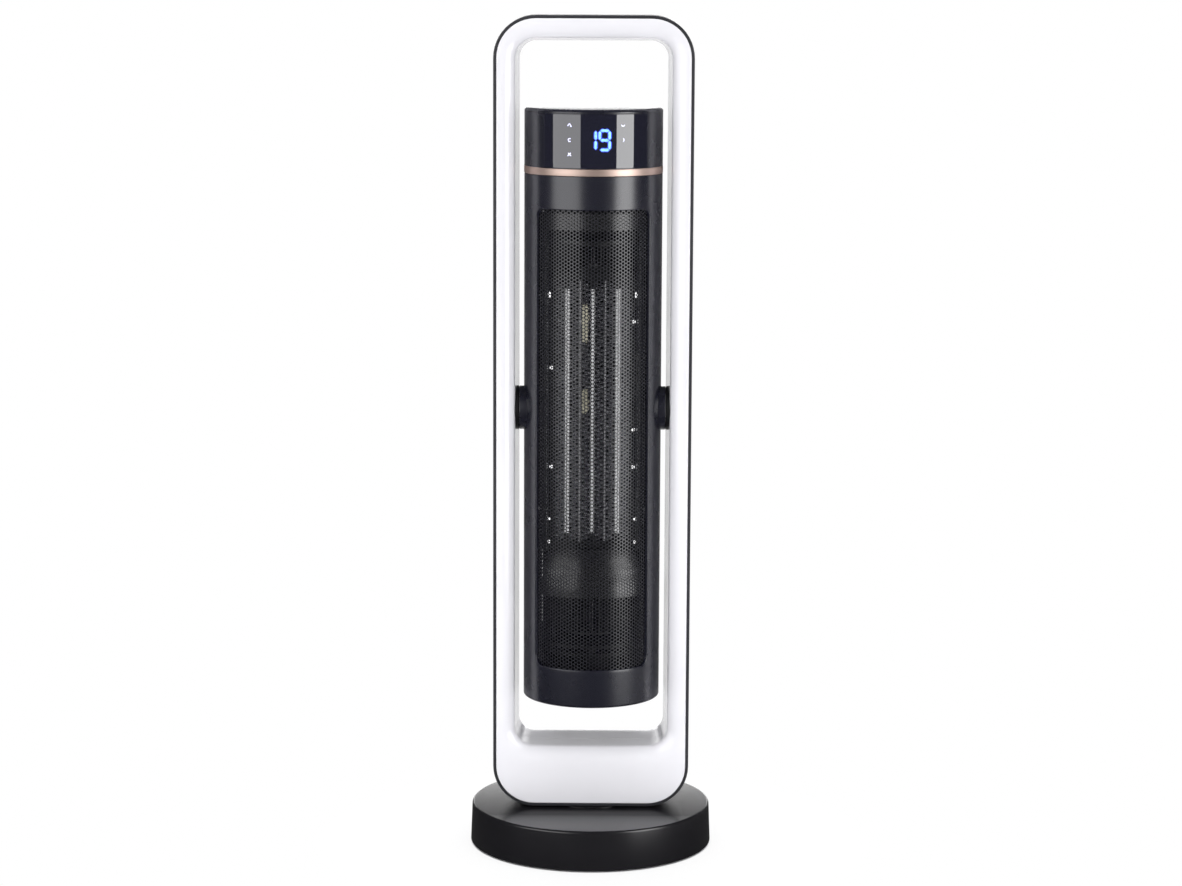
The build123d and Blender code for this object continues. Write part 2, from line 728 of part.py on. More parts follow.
with BuildPart() as display_board:
    block(level(ring_top + 4), 58, 1.6, 43, centre=(2, board_front + 0.8))
display_board.part.label = "display_board"
export_step(display_board.part, "parts/display_board.step")

with BuildPart() as led_digits:
    block(level(display_middle - 13), 34, 8, 26, centre=(display_centre, board_front - 4))
    fillet(led_digits.edges().filter_by(Axis.Z), radius=0.8)
led_digits.part.label = "led_digits"
export_step(led_digits.part, "parts/led_digits.step")

board_level = 640.0
relay_places = [(-26, 6), (-6, 6), (14, 6)]

with BuildPart() as power_board:
    disc(level(board_level), 51, 1.6)
    block(level(board_level), 110, 30, 1.6, centre=(0, -52), mode=Mode.SUBTRACT)
power_board.part.label = "power_board"
export_step(power_board.part, "parts/power_board.step")

with BuildPart() as power_board_parts:
    with BuildSketch(level(board_level + 1.6)) as relays:
        with Locations(*relay_places):
            Rectangle(15, 19)
    extrude(amount=16)
    discs(level(board_level + 1.6), [(34, -8)], 6.5, 18)
    block(level(board_level + 1.6), 40, 9, 12, centre=(-4, -22))
power_board_parts.part.label = "power_board_parts"
export_step(power_board_parts.part, "parts/power_board_parts.step")

duct_outer = 62.0
duct_inner = 60.0
duct_bottom = 258.5
duct_top = 634.5
duct_window_bottom = 304.5
duct_window_top = 617.5

with BuildPart() as heater_duct:
    arc_band([level(duct_bottom)], duct_inner, duct_outer, front, 52, duct_top - duct_bottom)
    arc_band([level(duct_window_bottom)], duct_inner - 2, duct_outer + 2, front, 47.5,
             duct_window_top - duct_window_bottom, mode=Mode.SUBTRACT)
heater_duct.part.label = "heater_duct"
export_step(heater_duct.part, "parts/heater_duct.step")

element_middle_y = element_front + element_depth / 2
tube_bottom = element_bottom + 8
tube_top = element_top - 8
separators = [-column_pitch / 2, column_pitch / 2]

with BuildPart() as ptc_tubes:
    with BuildSketch(level(tube_bottom)) as tube_sections:
        with Locations(*[(n * column_pitch, element_middle_y) for n in (-1, 0, 1)]):
            RectangleRounded(tube_width, element_depth, 1.2)
    extrude(amount=tube_top - tube_bottom)
ptc_tubes.part.label = "ptc_tubes"
export_step(ptc_tubes.part, "parts/ptc_tubes.step")

with BuildPart() as ptc_separators:
    with BuildSketch(level(element_bottom)) as separator_sections:
        with Locations(*[(x, element_middle_y) for x in separators]):
            Rectangle(separator_width, element_depth)
    extrude(amount=element_top - element_bottom)
ptc_separators.part.label = "ptc_separators"
export_step(ptc_separators.part, "parts/ptc_separators.step")

fin_bottom = element_bottom + 1
fin_top = element_top - 1
inner_column = (tube_width / 2, column_pitch / 2 - separator_width / 2)
middle_column = (column_pitch / 2 + separator_width / 2, column_pitch - tube_width / 2)
outer_column = (column_pitch + tube_width / 2, rail_inner)
fin_columns = [inner_column, middle_column, outer_column]


def fin_strip(left, right):
    """A corrugated strip that zigzags between two walls, seen from the front."""
    gap = 0.05
    low = left + gap
    high = right - gap
    count = int((fin_top - fin_bottom) / (fin_pitch / 2))
    near = []
    for n in range(count + 1):
        near.append((low if n % 2 == 0 else high - fin_thickness, fin_bottom + n * fin_pitch / 2))
    far = [(x + fin_thickness, z) for x, z in reversed(near)]
    with BuildSketch(Plane.XZ.offset(-element_front - 1)) as strip:
        with BuildLine():
            Polyline(*near, *far, close=True)
        make_face()
    extrude(strip.sketch, amount=-(element_depth - 2))


with BuildPart() as ptc_fins:
    for left, right in fin_columns:
        fin_strip(left, right)
        fin_strip(-right, -left)
ptc_fins.part.label = "ptc_fins"
export_step(ptc_fins.part, "parts/ptc_fins.step")

rail_outer = 45.0
rail_depth = 8.0
rail_wall = 1.3
rail_reach = 4.0
bracket_height = 8.0

with BuildPart() as ptc_rails:
    for side in (-1, 1):
        block(level(element_bottom), rail_wall, element_depth, element_top - element_bottom,
              centre=(side * (rail_inner + rail_wall / 2), element_middle_y))
        block(level(element_bottom - rail_reach), rail_outer - rail_inner - rail_wall, rail_depth,
              element_top - element_bottom + 2 * rail_reach,
              centre=(side * (rail_outer + rail_inner + rail_wall) / 2,
                      element_front + 2 + rail_depth / 2))
ptc_rails.part.label = "ptc_rails"
export_step(ptc_rails.part, "parts/ptc_rails.step")

with BuildPart() as ptc_end_brackets:
    for low in (element_bottom - bracket_height, element_top):
        block(level(low), 2 * (rail_inner + rail_wall), element_depth + 1, bracket_height,
              centre=(0, element_middle_y))
    fillet(ptc_end_brackets.edges().filter_by(Axis.X), radius=1.0)
    for low, high in ((element_bottom, tube_bottom), (tube_top, element_top)):
        for n in (-1, 0, 1):
            block(level(low), tube_width, element_depth - 2, high - low,
                  centre=(n * column_pitch, element_middle_y))
ptc_end_brackets.part.label = "ptc_end_brackets"
export_step(ptc_end_brackets.part, "parts/ptc_end_brackets.step")

outer_screw_x = 42.3
inner_screw_x = 39.9
rail_screw_head = 1.7
rail_screw_places = [(side * outer_screw_x, z) for side in (-1, 1) for z in (311.0, 334.0, 554.0)]
rail_screw_places += [(-inner_screw_x, z) for z in (385.5, 482.8)]
rail_screw_places += [(inner_screw_x, z) for z in (385.5, 422.3, 528.1)]

with BuildPart() as rail_screws:
    with BuildSketch(Plane.XZ.offset(-element_front - 2)) as rail_screw_heads:
        with Locations(*rail_screw_places):
            Circle(rail_screw_head)
    extrude(amount=1.4)
    fillet(rail_screws.faces().group_by(Axis.Y)[0].edges(), radius=0.6)
rail_screws.part.label = "rail_screws"
export_step(rail_screws.part, "parts/rail_screws.step")

with BuildPart() as thermal_cutout:
    block(level(element_top + bracket_height), 30, 6, 6, centre=(0, element_middle_y))
    disc(Plane(origin=(0, element_middle_y, element_top + bracket_height + 6)), 6, 3)
thermal_cutout.part.label = "thermal_cutout"
export_step(thermal_cutout.part, "parts/thermal_cutout.step")

scroll_bottom = 206.0
scroll_top = 604.0
scroll_plate = 3.0
scroll_radius = 50.0
guide_inner = 34.0
guide_outer = 35.5
bearing_place = [(0, blower_y)]

with BuildPart() as scroll_housing:
    for low in (scroll_bottom, scroll_top):
        disc(level(low), scroll_radius, scroll_plate)
    discs(level(scroll_bottom), bearing_place, fan_shaft_radius + 3, scroll_plate, mode=Mode.SUBTRACT)
    discs(level(scroll_top), bearing_place, bush_radius, scroll_plate, mode=Mode.SUBTRACT)
    with BuildSketch(level(scroll_bottom + scroll_plate)) as guide_section:
        with BuildLine():
            wall = CenterArc((0, blower_y), guide_outer, -35, 80)
            face_of_wall = CenterArc((0, blower_y), guide_inner, -35, 80)
            Line(wall @ 0, face_of_wall @ 0)
            Line(wall @ 1, face_of_wall @ 1)
        make_face()
        with Locations((-37, -5)):
            Rectangle(2, 22)
    extrude(amount=scroll_top - scroll_bottom - scroll_plate)
scroll_housing.part.label = "scroll_housing"
export_step(scroll_housing.part, "parts/scroll_housing.step")

fan_motor_bottom = 166.0
fan_motor_top = 198.0
mount_thickness = 3.0

with BuildPart() as fan_motor:
    discs(level(fan_motor_bottom), bearing_place, 28, fan_motor_top - fan_motor_bottom)
    fillet(fan_motor.edges(), radius=2.5)
    discs(level(fan_motor_top - 12), bearing_place, fan_shaft_radius + 0.05, 20, mode=Mode.SUBTRACT)
fan_motor.part.label = "fan_motor"
export_step(fan_motor.part, "parts/fan_motor.step")

with BuildPart() as motor_mount:
    disc(level(fan_motor_top), 50, mount_thickness)
    discs(level(fan_motor_top), bearing_place, fan_shaft_radius + 4, mount_thickness,
          mode=Mode.SUBTRACT)
    discs(level(fan_motor_top + mount_thickness), [(-38, -18), (38, -18), (0, -42)], 5,
          scroll_bottom - fan_motor_top - mount_thickness)
motor_mount.part.label = "motor_mount"
export_step(motor_mount.part, "parts/motor_mount.step")

with BuildPart() as top_bearing:
    discs(level(scroll_top), bearing_place, bush_radius, scroll_plate + 5, fan_shaft_radius + 0.05)
top_bearing.part.label = "top_bearing"
export_step(top_bearing.part, "parts/top_bearing.step")

with BuildPart() as fan_shaft:
    discs(level(fan_motor_top - 11), bearing_place, fan_shaft_radius,
          scroll_top + 8 - fan_motor_top + 11)
fan_shaft.part.label = "fan_shaft"
export_step(fan_shaft.part, "parts/fan_shaft.step")

disc_count = 5
disc_thickness = 2.0
disc_step = (impeller_top - impeller_bottom - disc_thickness) / (disc_count - 1)
blade_inner = 24.0
blade_turn = 14.0

with BuildPart() as impeller:
    disc_planes = [level(impeller_bottom + disc_step * n) for n in range(disc_count)]
    with BuildSketch(*disc_planes) as rotor_discs:
        with Locations((0, blower_y)):
            Circle(impeller_radius)
            Circle(fan_shaft_radius, mode=Mode.SUBTRACT)
    extrude(amount=disc_thickness)
    with BuildSketch(level(impeller_bottom)) as blades:
        with Locations((0, blower_y)):
            with PolarLocations((blade_inner + impeller_radius) / 2, blade_count):
                Rectangle(impeller_radius - blade_inner - 0.6, 1.0, rotation=blade_turn)
    extrude(amount=impeller_top - impeller_bottom)
impeller.part.label = "impeller"
export_step(impeller.part, "parts/impeller.step")

with BuildPart() as pivot_hubs:
    for side in (-1, 1):
        disc(side_plane(side, hub_flange - 2.5), hub_flange_radius, 2.5)
        disc(side_plane(side, hub_flange), pivot_radius, hub_end - hub_flange)
        disc(side_plane(side, hub_end - 1.2), 18, 2, mode=Mode.SUBTRACT)
        disc(side_plane(side, hub_flange - 3), bush_radius, 20, mode=Mode.SUBTRACT)
pivot_hubs.part.label = "pivot_hubs"
export_step(pivot_hubs.part, "parts/pivot_hubs.step")

with BuildPart() as pivot_bushes:
    for side in (-1, 1):
        disc(side_plane(side, hub_flange - 2.5), bush_radius, hub_end - 1.2 - hub_flange + 2.5,
             bush_bore)
pivot_bushes.part.label = "pivot_bushes"
export_step(pivot_bushes.part, "parts/pivot_bushes.step")

with BuildPart() as friction_washers:
    for side in (-1, 1):
        disc(side_plane(side, hub_end - 1.2), 18, 1.4, 6)
friction_washers.part.label = "friction_washers"
export_step(friction_washers.part, "parts/friction_washers.step")
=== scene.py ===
import json
from math import asin, cos, hypot, pi, radians, sin, sqrt, tan

import bpy
import bmesh
from mathutils import Matrix, Vector


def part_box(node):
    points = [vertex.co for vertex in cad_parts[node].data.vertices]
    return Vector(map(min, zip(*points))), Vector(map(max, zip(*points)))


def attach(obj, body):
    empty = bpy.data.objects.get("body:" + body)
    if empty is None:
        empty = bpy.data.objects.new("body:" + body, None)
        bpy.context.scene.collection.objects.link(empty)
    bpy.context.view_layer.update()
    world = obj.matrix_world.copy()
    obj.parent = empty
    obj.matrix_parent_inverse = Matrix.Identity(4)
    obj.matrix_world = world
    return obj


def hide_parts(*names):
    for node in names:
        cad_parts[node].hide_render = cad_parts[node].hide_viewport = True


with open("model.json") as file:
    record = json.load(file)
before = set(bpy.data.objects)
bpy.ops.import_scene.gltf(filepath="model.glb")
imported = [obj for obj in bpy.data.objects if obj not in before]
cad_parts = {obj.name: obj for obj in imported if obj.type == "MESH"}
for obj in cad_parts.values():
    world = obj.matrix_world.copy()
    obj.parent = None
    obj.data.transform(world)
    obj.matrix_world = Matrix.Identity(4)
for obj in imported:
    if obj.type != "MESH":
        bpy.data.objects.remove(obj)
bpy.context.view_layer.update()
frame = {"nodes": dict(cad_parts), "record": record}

MM = 0.001

# ------------------------------------------------------------------ sizes, from the frame

liner_low, liner_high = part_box("front_liner")
cover_low, cover_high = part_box("base_cover")
shell_low, shell_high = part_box("front_shell")
ring_low, ring_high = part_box("trim_ring")
panel_low, panel_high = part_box("control_panel")
grille_low, grille_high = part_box("front_grille")
hub_low, hub_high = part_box("pivot_hubs")
duct_low, duct_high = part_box("heater_duct")

base_radius = cover_high.x
base_top = cover_high.z
base_bottom = cover_low.z
head_radius = shell_high.x
head_bottom = shell_low.z
shell_wall = 2.5 * MM
ring_bottom = ring_low.z
ring_top = ring_high.z
cap_bottom = panel_high.z + 0.5 * MM
head_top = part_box("top_cap")[1].z
pivot_height = (hub_low.z + hub_high.z) / 2
pivot_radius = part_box("pivot_sockets")[1].z - pivot_height

frame_corner = 41 * MM
band_thickness = 3 * MM
band_half_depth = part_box("outer_band")[1].y
half_depth = -liner_low.y
liner_half_width = liner_high.x
liner_bottom = liner_low.z
liner_top = liner_high.z
opening_half_width = 74.4 * MM
opening_bottom = 103.5 * MM
opening_top = 798.5 * MM
opening_corner = 18 * MM
draft = 2.0 / 30.0

FRONT = -pi / 2
REAR = pi / 2
window_half_angle = radians(54.4)
window_bottom = grille_low.z + 4 * MM
window_top = grille_high.z - 4 * MM
window_corner = 10 * MM
rear_window_half_angle = radians(50)
rear_window_bottom = 205 * MM
rear_window_top = 640 * MM
panel_turn = radians(2.6)
panel_half_angle = radians(47.2)

# ------------------------------------------------------------------ camera

CAMERA_PLACE = Vector((5.6, -3016.5, 871.9)) * MM
CAMERA_DOWN = radians(8.835)
CAMERA_TURN = radians(-0.13)
CAMERA_ROLL = radians(0.27)
CAMERA_LENS = 94.15


def make_camera():
    """The camera at the height and angle that the heater is seen from."""
    data = bpy.data.cameras.new("camera")
    data.lens = CAMERA_LENS
    data.sensor_width = 36
    data.clip_end = 200
    forward = Vector((sin(CAMERA_TURN) * cos(CAMERA_DOWN), cos(CAMERA_TURN) * cos(CAMERA_DOWN),
                      -sin(CAMERA_DOWN)))
    level = Vector((cos(CAMERA_TURN), -sin(CAMERA_TURN), 0))
    upright = level.cross(forward)
    right = level * cos(CAMERA_ROLL) + upright * sin(CAMERA_ROLL)
    up = upright * cos(CAMERA_ROLL) - level * sin(CAMERA_ROLL)
    camera = bpy.data.objects.new("camera", data)
    camera.matrix_world = Matrix((
        (right.x, up.x, -forward.x, CAMERA_PLACE.x),
        (right.y, up.y, -forward.y, CAMERA_PLACE.y),
        (right.z, up.z, -forward.z, CAMERA_PLACE.z),
        (0, 0, 0, 1)))
    bpy.context.scene.collection.objects.link(camera)
    bpy.context.scene.camera = camera


# ------------------------------------------------------------------ materials


class Graph:
    """Short ways to add nodes to a node tree."""

    def __init__(self, tree):
        self.nodes = tree.nodes
        self.links = tree.links

    def node(self, kind, **sockets):
        """A node with some input sockets set to values or joined to outputs."""
        made = self.nodes.new("ShaderNode" + kind)
        for socket, value in sockets.items():
            self.feed(made.inputs[socket.replace("_", " ")], value)
        return made

    def feed(self, socket, value):
        """Joins a socket to an output, or sets it to a plain value."""
        if isinstance(value, bpy.types.NodeSocket):
            self.links.new(value, socket)
        else:
            socket.default_value = value

    def spread(self, factor, low, high, near=0.3, far=0.7):
        """A factor's range near..far turned into low..high."""
        return self.node("MapRange", Value=factor, From_Min=near, From_Max=far, To_Min=low,
                         To_Max=high).outputs["Result"]

    def calculate(self, operation, *values):
        """The result of one operation on outputs and plain values."""
        made = self.node("Math")
        made.operation = operation
        for socket, value in zip(made.inputs, values):
            self.feed(socket, value)
        return made.outputs["Value"]

    def blend(self, share, first, second):
        """A shader that goes from the first to the second."""
        made = self.node("MixShader", Fac=share)
        self.links.new(first, made.inputs[1])
        self.links.new(second, made.inputs[2])
        return made.outputs["Shader"]


class Surface(Graph):
    """A node material with one Principled shader and helpers that add detail to it."""

    def __init__(self, name, **sockets):
        self.slot = name
        self.material = bpy.data.materials.new(name)
        self.material.use_nodes = True
        super().__init__(self.material.node_tree)
        self.shader = self.nodes["Principled BSDF"]
        for socket, value in sockets.items():
            self.feed(self.shader.inputs[socket.replace("_", " ")], value)
        self.place = self.node("TexCoord").outputs["Object"]
        self.height = None

    def noise(self, scale, detail=3.0, stretch=(1, 1, 1), roughness=0.5):
        """Noise in object space, with scale in waves per metre, stretched along each axis."""
        mapping = self.node("Mapping", Vector=self.place, Scale=stretch)
        return self.node("TexNoise", Vector=mapping.outputs["Vector"], Scale=scale, Detail=detail,
                         Roughness=roughness).outputs["Fac"]

    def ramp(self, factor, *stops):
        """A colour ramp over a factor, with stops of (position, colour)."""
        ramp = self.node("ValToRGB", Fac=factor)
        elements = ramp.color_ramp.elements
        elements[0].position, elements[0].color = stops[0][0], (*stops[0][1], 1)
        elements[1].position, elements[1].color = stops[-1][0], (*stops[-1][1], 1)
        for position, colour in stops[1:-1]:
            elements.new(position).color = (*colour, 1)
        return ramp.outputs["Color"]

    def colour(self, factor, dark, light):
        """Colour that drifts between dark and light."""
        self.links.new(self.ramp(factor, (0.3, dark), (0.7, light)), self.shader.inputs["Base Color"])

    def roughness(self, factor, low, high):
        """Roughness that drifts between low and high."""
        self.links.new(self.spread(factor, low, high), self.shader.inputs["Roughness"])

    def bump(self, factor, depth, strength=1.0):
        """Relief of the given depth in metres, added to any relief made before."""
        bump = self.node("Bump", Distance=depth, Strength=strength, Height=factor)
        if self.height is not None:
            self.links.new(self.height, bump.inputs["Normal"])
        self.height = bump.outputs["Normal"]
        self.links.new(self.height, self.shader.inputs["Normal"])


def moulded(name, dark, light, low, high, grain=1500, depth=0.02 * MM, **sockets):
    """Moulded plastic or paint: a fine grain, and colour and gloss that drift a little."""
    surface = Surface(name, **sockets)
    surface.colour(surface.noise(9, 4), dark, light)
    surface.roughness(surface.noise(34, 5), low, high)
    surface.bump(surface.noise(grain, 2), depth)
    return surface


def metal(name, dark, light, low, high, stretch=(1, 1, 1), grain=900, depth=0.01 * MM, **sockets):
    """Bare metal with drawn or brushed lines along one direction."""
    surface = Surface(name, **{"Metallic": 1.0, **sockets})
    surface.colour(surface.noise(26, 5, stretch), dark, light)
    surface.roughness(surface.noise(60, 4, stretch), low, high)
    surface.bump(surface.noise(grain, 3, stretch), depth)
    return surface


def printed_board(name):
    """Green solder mask with pale tracks and pads."""
    surface = Surface(name, Roughness=0.35)
    tracks = surface.node("TexBrick", Vector=surface.place, Scale=160, Color1=(0.012, 0.07, 0.03, 1),
                          Color2=(0.015, 0.09, 0.038, 1), Mortar=(0.05, 0.16, 0.07, 1),
                          Mortar_Size=0.04)
    surface.links.new(tracks.outputs["Color"], surface.shader.inputs["Base Color"])
    surface.bump(tracks.outputs["Fac"], 0.05 * MM)
    return surface


def glowing(name, core, edge, strength):
    """A lit display segment: bright core that drifts slightly in brightness."""
    surface = Surface(name, Roughness=0.3, Emission_Strength=strength)
    glow = surface.ramp(surface.noise(420, 2), (0.25, edge), (0.6, core))
    surface.links.new(glow, surface.shader.inputs["Emission Color"])
    surface.links.new(glow, surface.shader.inputs["Base Color"])
    return surface


def base_top_painted_shade():
    """Satin black whose reflection is turned down near the frame that stands across its middle: painted
    shade where the frame shadows the top.
    """
    surface = moulded("base_top", (0.0055, 0.0052, 0.0068), (0.0070, 0.0066, 0.0084),
                      0.24, 0.27, grain=2400, depth=0.0015 * MM)
    depth = surface.node("SeparateXYZ", Vector=surface.place).outputs["Y"]
    # Painted shade: the reflection is turned down where |y| is under 100 mm, and most within 58 mm, as if
    # the frame shaded the top.
    painted_frame_shade = surface.spread(surface.calculate("ABSOLUTE", depth), 0.06, 0.80, near=0.058, far=0.100)
    surface.links.new(painted_frame_shade, surface.shader.inputs["Specular IOR Level"])
    return surface


def make_materials():
    """Every material, by the record's slot name or by its own."""
    surfaces = [
        moulded("base_black", (0.0055, 0.0052, 0.0068), (0.0070, 0.0066, 0.0084),
                0.24, 0.27, grain=2400, depth=0.0015 * MM, Specular_IOR_Level=0.7),
        base_top_painted_shade(),
        moulded("shell_black", (0.0050, 0.0052, 0.0115), (0.0062, 0.0064, 0.0135),
                0.26, 0.28, grain=2400, depth=0.0012 * MM, Specular_IOR_Level=0.9),
        moulded("inner_black", (0.003, 0.003, 0.004), (0.005, 0.005, 0.006),
                0.38, 0.52, grain=900, depth=0.01 * MM, Specular_IOR_Level=0.35),
        moulded("rubber", (0.008, 0.008, 0.008), (0.016, 0.016, 0.016),
                0.7, 0.85, grain=700, depth=0.06 * MM),
        metal("steel", (0.50, 0.50, 0.51), (0.66, 0.66, 0.68), 0.25, 0.42),
        moulded("acetal", (0.70, 0.69, 0.65), (0.78, 0.77, 0.73), 0.38, 0.5),
        moulded("panel_black", (0.0075, 0.0077, 0.0150), (0.0085, 0.0087, 0.0170),
                0.02, 0.045, grain=60, depth=0.004 * MM, IOR=1.9),
        moulded("band_graphite", (0.020, 0.020, 0.024), (0.028, 0.028, 0.033),
                0.30, 0.40, grain=1500, depth=0.015 * MM),
        moulded("gloss_white", (0.70, 0.695, 0.73), (0.73, 0.725, 0.76),
                0.16, 0.24, grain=120, depth=0.006 * MM, Coat_Weight=0.25,
                Coat_Roughness=0.06),
        metal("cast_aluminium", (0.70, 0.70, 0.71), (0.95, 0.95, 0.96), 0.30, 0.45,
              stretch=(1, 1, 0.12), Metallic=0.3),
        moulded("mesh_black", (0.008, 0.008, 0.012), (0.013, 0.013, 0.018),
                0.24, 0.34, grain=2200, depth=0.01 * MM, Specular_IOR_Level=0.7),
        metal("rose_gold", (0.65, 0.49, 0.43), (0.71, 0.55, 0.48), 0.42, 0.50,
              stretch=(0.15, 0.15, 6), grain=700, depth=0.006 * MM),
        printed_board("board_green"),
        moulded("duct_black", (0.010, 0.010, 0.012), (0.016, 0.016, 0.019),
                0.20, 0.28, grain=800, depth=0.01 * MM, Specular_IOR_Level=1.0),
        metal("fin_aluminium", (0.50, 0.50, 0.53), (0.86, 0.86, 0.90), 0.30, 0.5,
              stretch=(1, 1, 0.3), Metallic=0.4),
        # Painted glint: this zinc glows faintly, so the screws show as bright dots.
        metal("zinc_with_painted_glint", (0.85, 0.85, 0.87), (0.98, 0.98, 1.0), 0.15, 0.25,
              Metallic=0.3, Emission_Strength=1.2),
        moulded("impeller_black", (0.004, 0.004, 0.005), (0.008, 0.008, 0.009),
                0.4, 0.55),
        metal("dull_aluminium", (0.24, 0.24, 0.25), (0.40, 0.40, 0.42), 0.4, 0.55,
              Metallic=0.3),
        moulded("cream_paste", (0.22, 0.21, 0.14), (0.55, 0.52, 0.40), 0.4, 0.6,
                grain=600, depth=0.15 * MM),
        glowing("digit_blue", (0.20, 0.47, 1.0), (0.11, 0.26, 1.0), 1.05),
        glowing("digit_glow", (0.020, 0.035, 0.42), (0.012, 0.02, 0.26), 1.0),
        glowing("icon_white", (0.75, 0.76, 1.0), (0.5, 0.5, 0.85), 0.9),
        make_filter_cloth(),
    ]
    return {surface.slot: surface.material for surface in surfaces}


def make_filter_cloth():
    """Fine woven filter cloth: crossed waves as relief and as light and dark threads."""
    surface = Surface("filter_mesh", Roughness=0.8)
    weave = surface.node("TexChecker", Vector=surface.place, Scale=900,
                         Color1=(0.012, 0.012, 0.014, 1), Color2=(0.035, 0.035, 0.04, 1))
    surface.links.new(weave.outputs["Color"], surface.shader.inputs["Base Color"])
    surface.bump(weave.outputs["Fac"], 0.1 * MM)
    return surface


# ------------------------------------------------------------------ mesh helpers


def face_outwards(mesh):
    """Turns every face of a closed mesh outwards."""
    work = bmesh.new()
    work.from_mesh(mesh)
    bmesh.ops.recalc_face_normals(work, faces=work.faces)
    if work.calc_volume(signed=True) < 0:
        bmesh.ops.reverse_faces(work, faces=work.faces)
    work.to_mesh(mesh)
    work.free()


def finish_mesh(name, vertices, faces, material, body, slot, replaced=(), sharp=35):
    """A smooth-shaded piece from vertices and faces, riding on its body."""
    mesh = bpy.data.meshes.new(name)
    mesh.from_pydata([tuple(v) for v in vertices], [], faces)
    face_outwards(mesh)
    for polygon in mesh.polygons:
        polygon.use_smooth = True
    mesh.set_sharp_from_angle(angle=radians(sharp))
    mesh.materials.append(material)
    piece = bpy.data.objects.new(name, mesh)
    bpy.context.scene.collection.objects.link(piece)
    return place_piece(piece, body, replaced)


def place_piece(piece, body, replaced=()):
    """Sets a piece on its body and hides the CAD parts it stands for."""
    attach(piece, body)
    if replaced:
        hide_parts(*replaced)
    return piece


def bridge(rings, closed=True):
    """Vertices and quads between rings of equal length; closed joins the last to the first."""
    count = len(rings[0])
    vertices = [point for ring in rings for point in ring]
    faces = []
    last = len(rings) if closed else len(rings) - 1
    for row in range(last):
        near = row * count
        far = ((row + 1) % len(rings)) * count
        for i in range(count):
            j = (i + 1) % count
            faces.append((near + i, near + j, far + j, far + i))
    return vertices, faces


def capped(rings):
    """Vertices and faces of a solid through open rings, with both ends closed."""
    vertices, faces = bridge(rings, closed=False)
    count = len(rings[0])
    faces.append(tuple(range(count)))
    faces.append(tuple(range(len(vertices) - count, len(vertices))))
    return vertices, faces


def joined(shapes):
    """Several shapes, each given as vertices and faces, as one."""
    vertices, faces = [], []
    for shape_vertices, shape_faces in shapes:
        first = len(vertices)
        vertices += shape_vertices
        faces += [tuple(first + i for i in face) for face in shape_faces]
    return vertices, faces


def rounded_path(corners, steps=6):
    """A closed outline from (x, y, radius) corners, each rounded with an arc of points."""
    path = []
    count = len(corners)
    for i, (x, y, radius) in enumerate(corners):
        if radius == 0:
            path.append((x, y))
            continue
        corner = Vector((x, y))
        before = (Vector(corners[i - 1][:2]) - corner).normalized()
        after = (Vector(corners[(i + 1) % count][:2]) - corner).normalized()
        half = before.angle(after) / 2
        centre = corner + (before + after).normalized() * radius / sin(half)
        start = corner + before * radius / tan(half) - centre
        end = corner + after * radius / tan(half) - centre
        turn = start.angle_signed(end)
        for step in range(steps + 1):
            angle = -turn * step / steps
            path.append((centre.x + start.x * cos(angle) - start.y * sin(angle),
                         centre.y + start.x * sin(angle) + start.y * cos(angle)))
    return path


def lathe(profile, count=192, axis="z", centre=0.0, side=1):
    """Rings of a (radius, height) outline turned about Z, or about X at the pivot's height."""
    rings = []
    for radius, height in profile:
        ring = []
        for i in range(count):
            angle = 2 * pi * i / count
            if axis == "z":
                ring.append((radius * cos(angle), centre + radius * sin(angle), height))
            else:
                ring.append((side * height, radius * cos(angle), centre + radius * sin(angle)))
        rings.append(ring)
    return rings


def lathe_piece(name, corners, material, body, slot, replaced=(), steps=6, sharp=35, count=192):
    """A turned piece whose outline is a closed loop clear of the axis."""
    vertices, faces = bridge(lathe(rounded_path(corners, steps), count))
    return finish_mesh(name, vertices, faces, material, body, slot, replaced, sharp)


def rounded_rectangle(half_width, low, high, radius, arc=12, across=24, along=24):
    """Points (x, z, normal x, normal z) round a rectangle, starting at its lower right corner."""
    points = []
    corners = [(half_width - radius, low + radius, -pi / 2), (half_width - radius, high - radius, 0),
               (radius - half_width, high - radius, pi / 2), (radius - half_width, low + radius, pi)]
    for n, (cx, cz, start) in enumerate(corners):
        for step in range(arc + 1):
            angle = start + pi / 2 * step / arc
            points.append((cx + radius * cos(angle), cz + radius * sin(angle), cos(angle), sin(angle)))
        next_x, next_z, next_start = corners[(n + 1) % 4]
        here = points[-1]
        there = (next_x + radius * cos(next_start), next_z + radius * sin(next_start))
        pieces = along if n % 2 == 0 else across
        for step in range(1, pieces):
            share = step / pieces
            points.append((here[0] + (there[0] - here[0]) * share,
                           here[1] + (there[1] - here[1]) * share, here[2], here[3]))
    return points


def blended(first, second, share, shift_first=0.0, shift_second=0.0):
    """A ring part-way from one shifted outline to another, as (x, z) points."""
    ring = []
    for a, b in zip(first, second):
        ax, az = a[0] + a[2] * shift_first, a[1] + a[3] * shift_first
        bx, bz = b[0] + b[2] * shift_second, b[1] + b[3] * shift_second
        ring.append((ax + (bx - ax) * share, az + (bz - az) * share))
    return ring


def quarter(steps):
    """Angles of a quarter turn, ends included."""
    return [pi / 2 * step / steps for step in range(steps + 1)]


def circle_across(x, z, radius, y, count=24):
    """A circle of points that faces along Y."""
    angles = [2 * pi * i / count for i in range(count)]
    return [(x + radius * cos(angle), y, z + radius * sin(angle)) for angle in angles]


def round_cutter(places, radius, low, high):
    """Round bars along Y at (x, z) places."""
    return joined([capped([circle_across(x, z, radius, y) for y in (low, high)]) for x, z in places])


def box_cutter(low, high):
    """A box between two corners, as vertices and faces."""
    across, deep, up = zip(low, high)
    rings = [[(across[0], y, up[0]), (across[1], y, up[0]), (across[1], y, up[1]), (across[0], y, up[1])]
             for y in deep]
    return capped(rings)


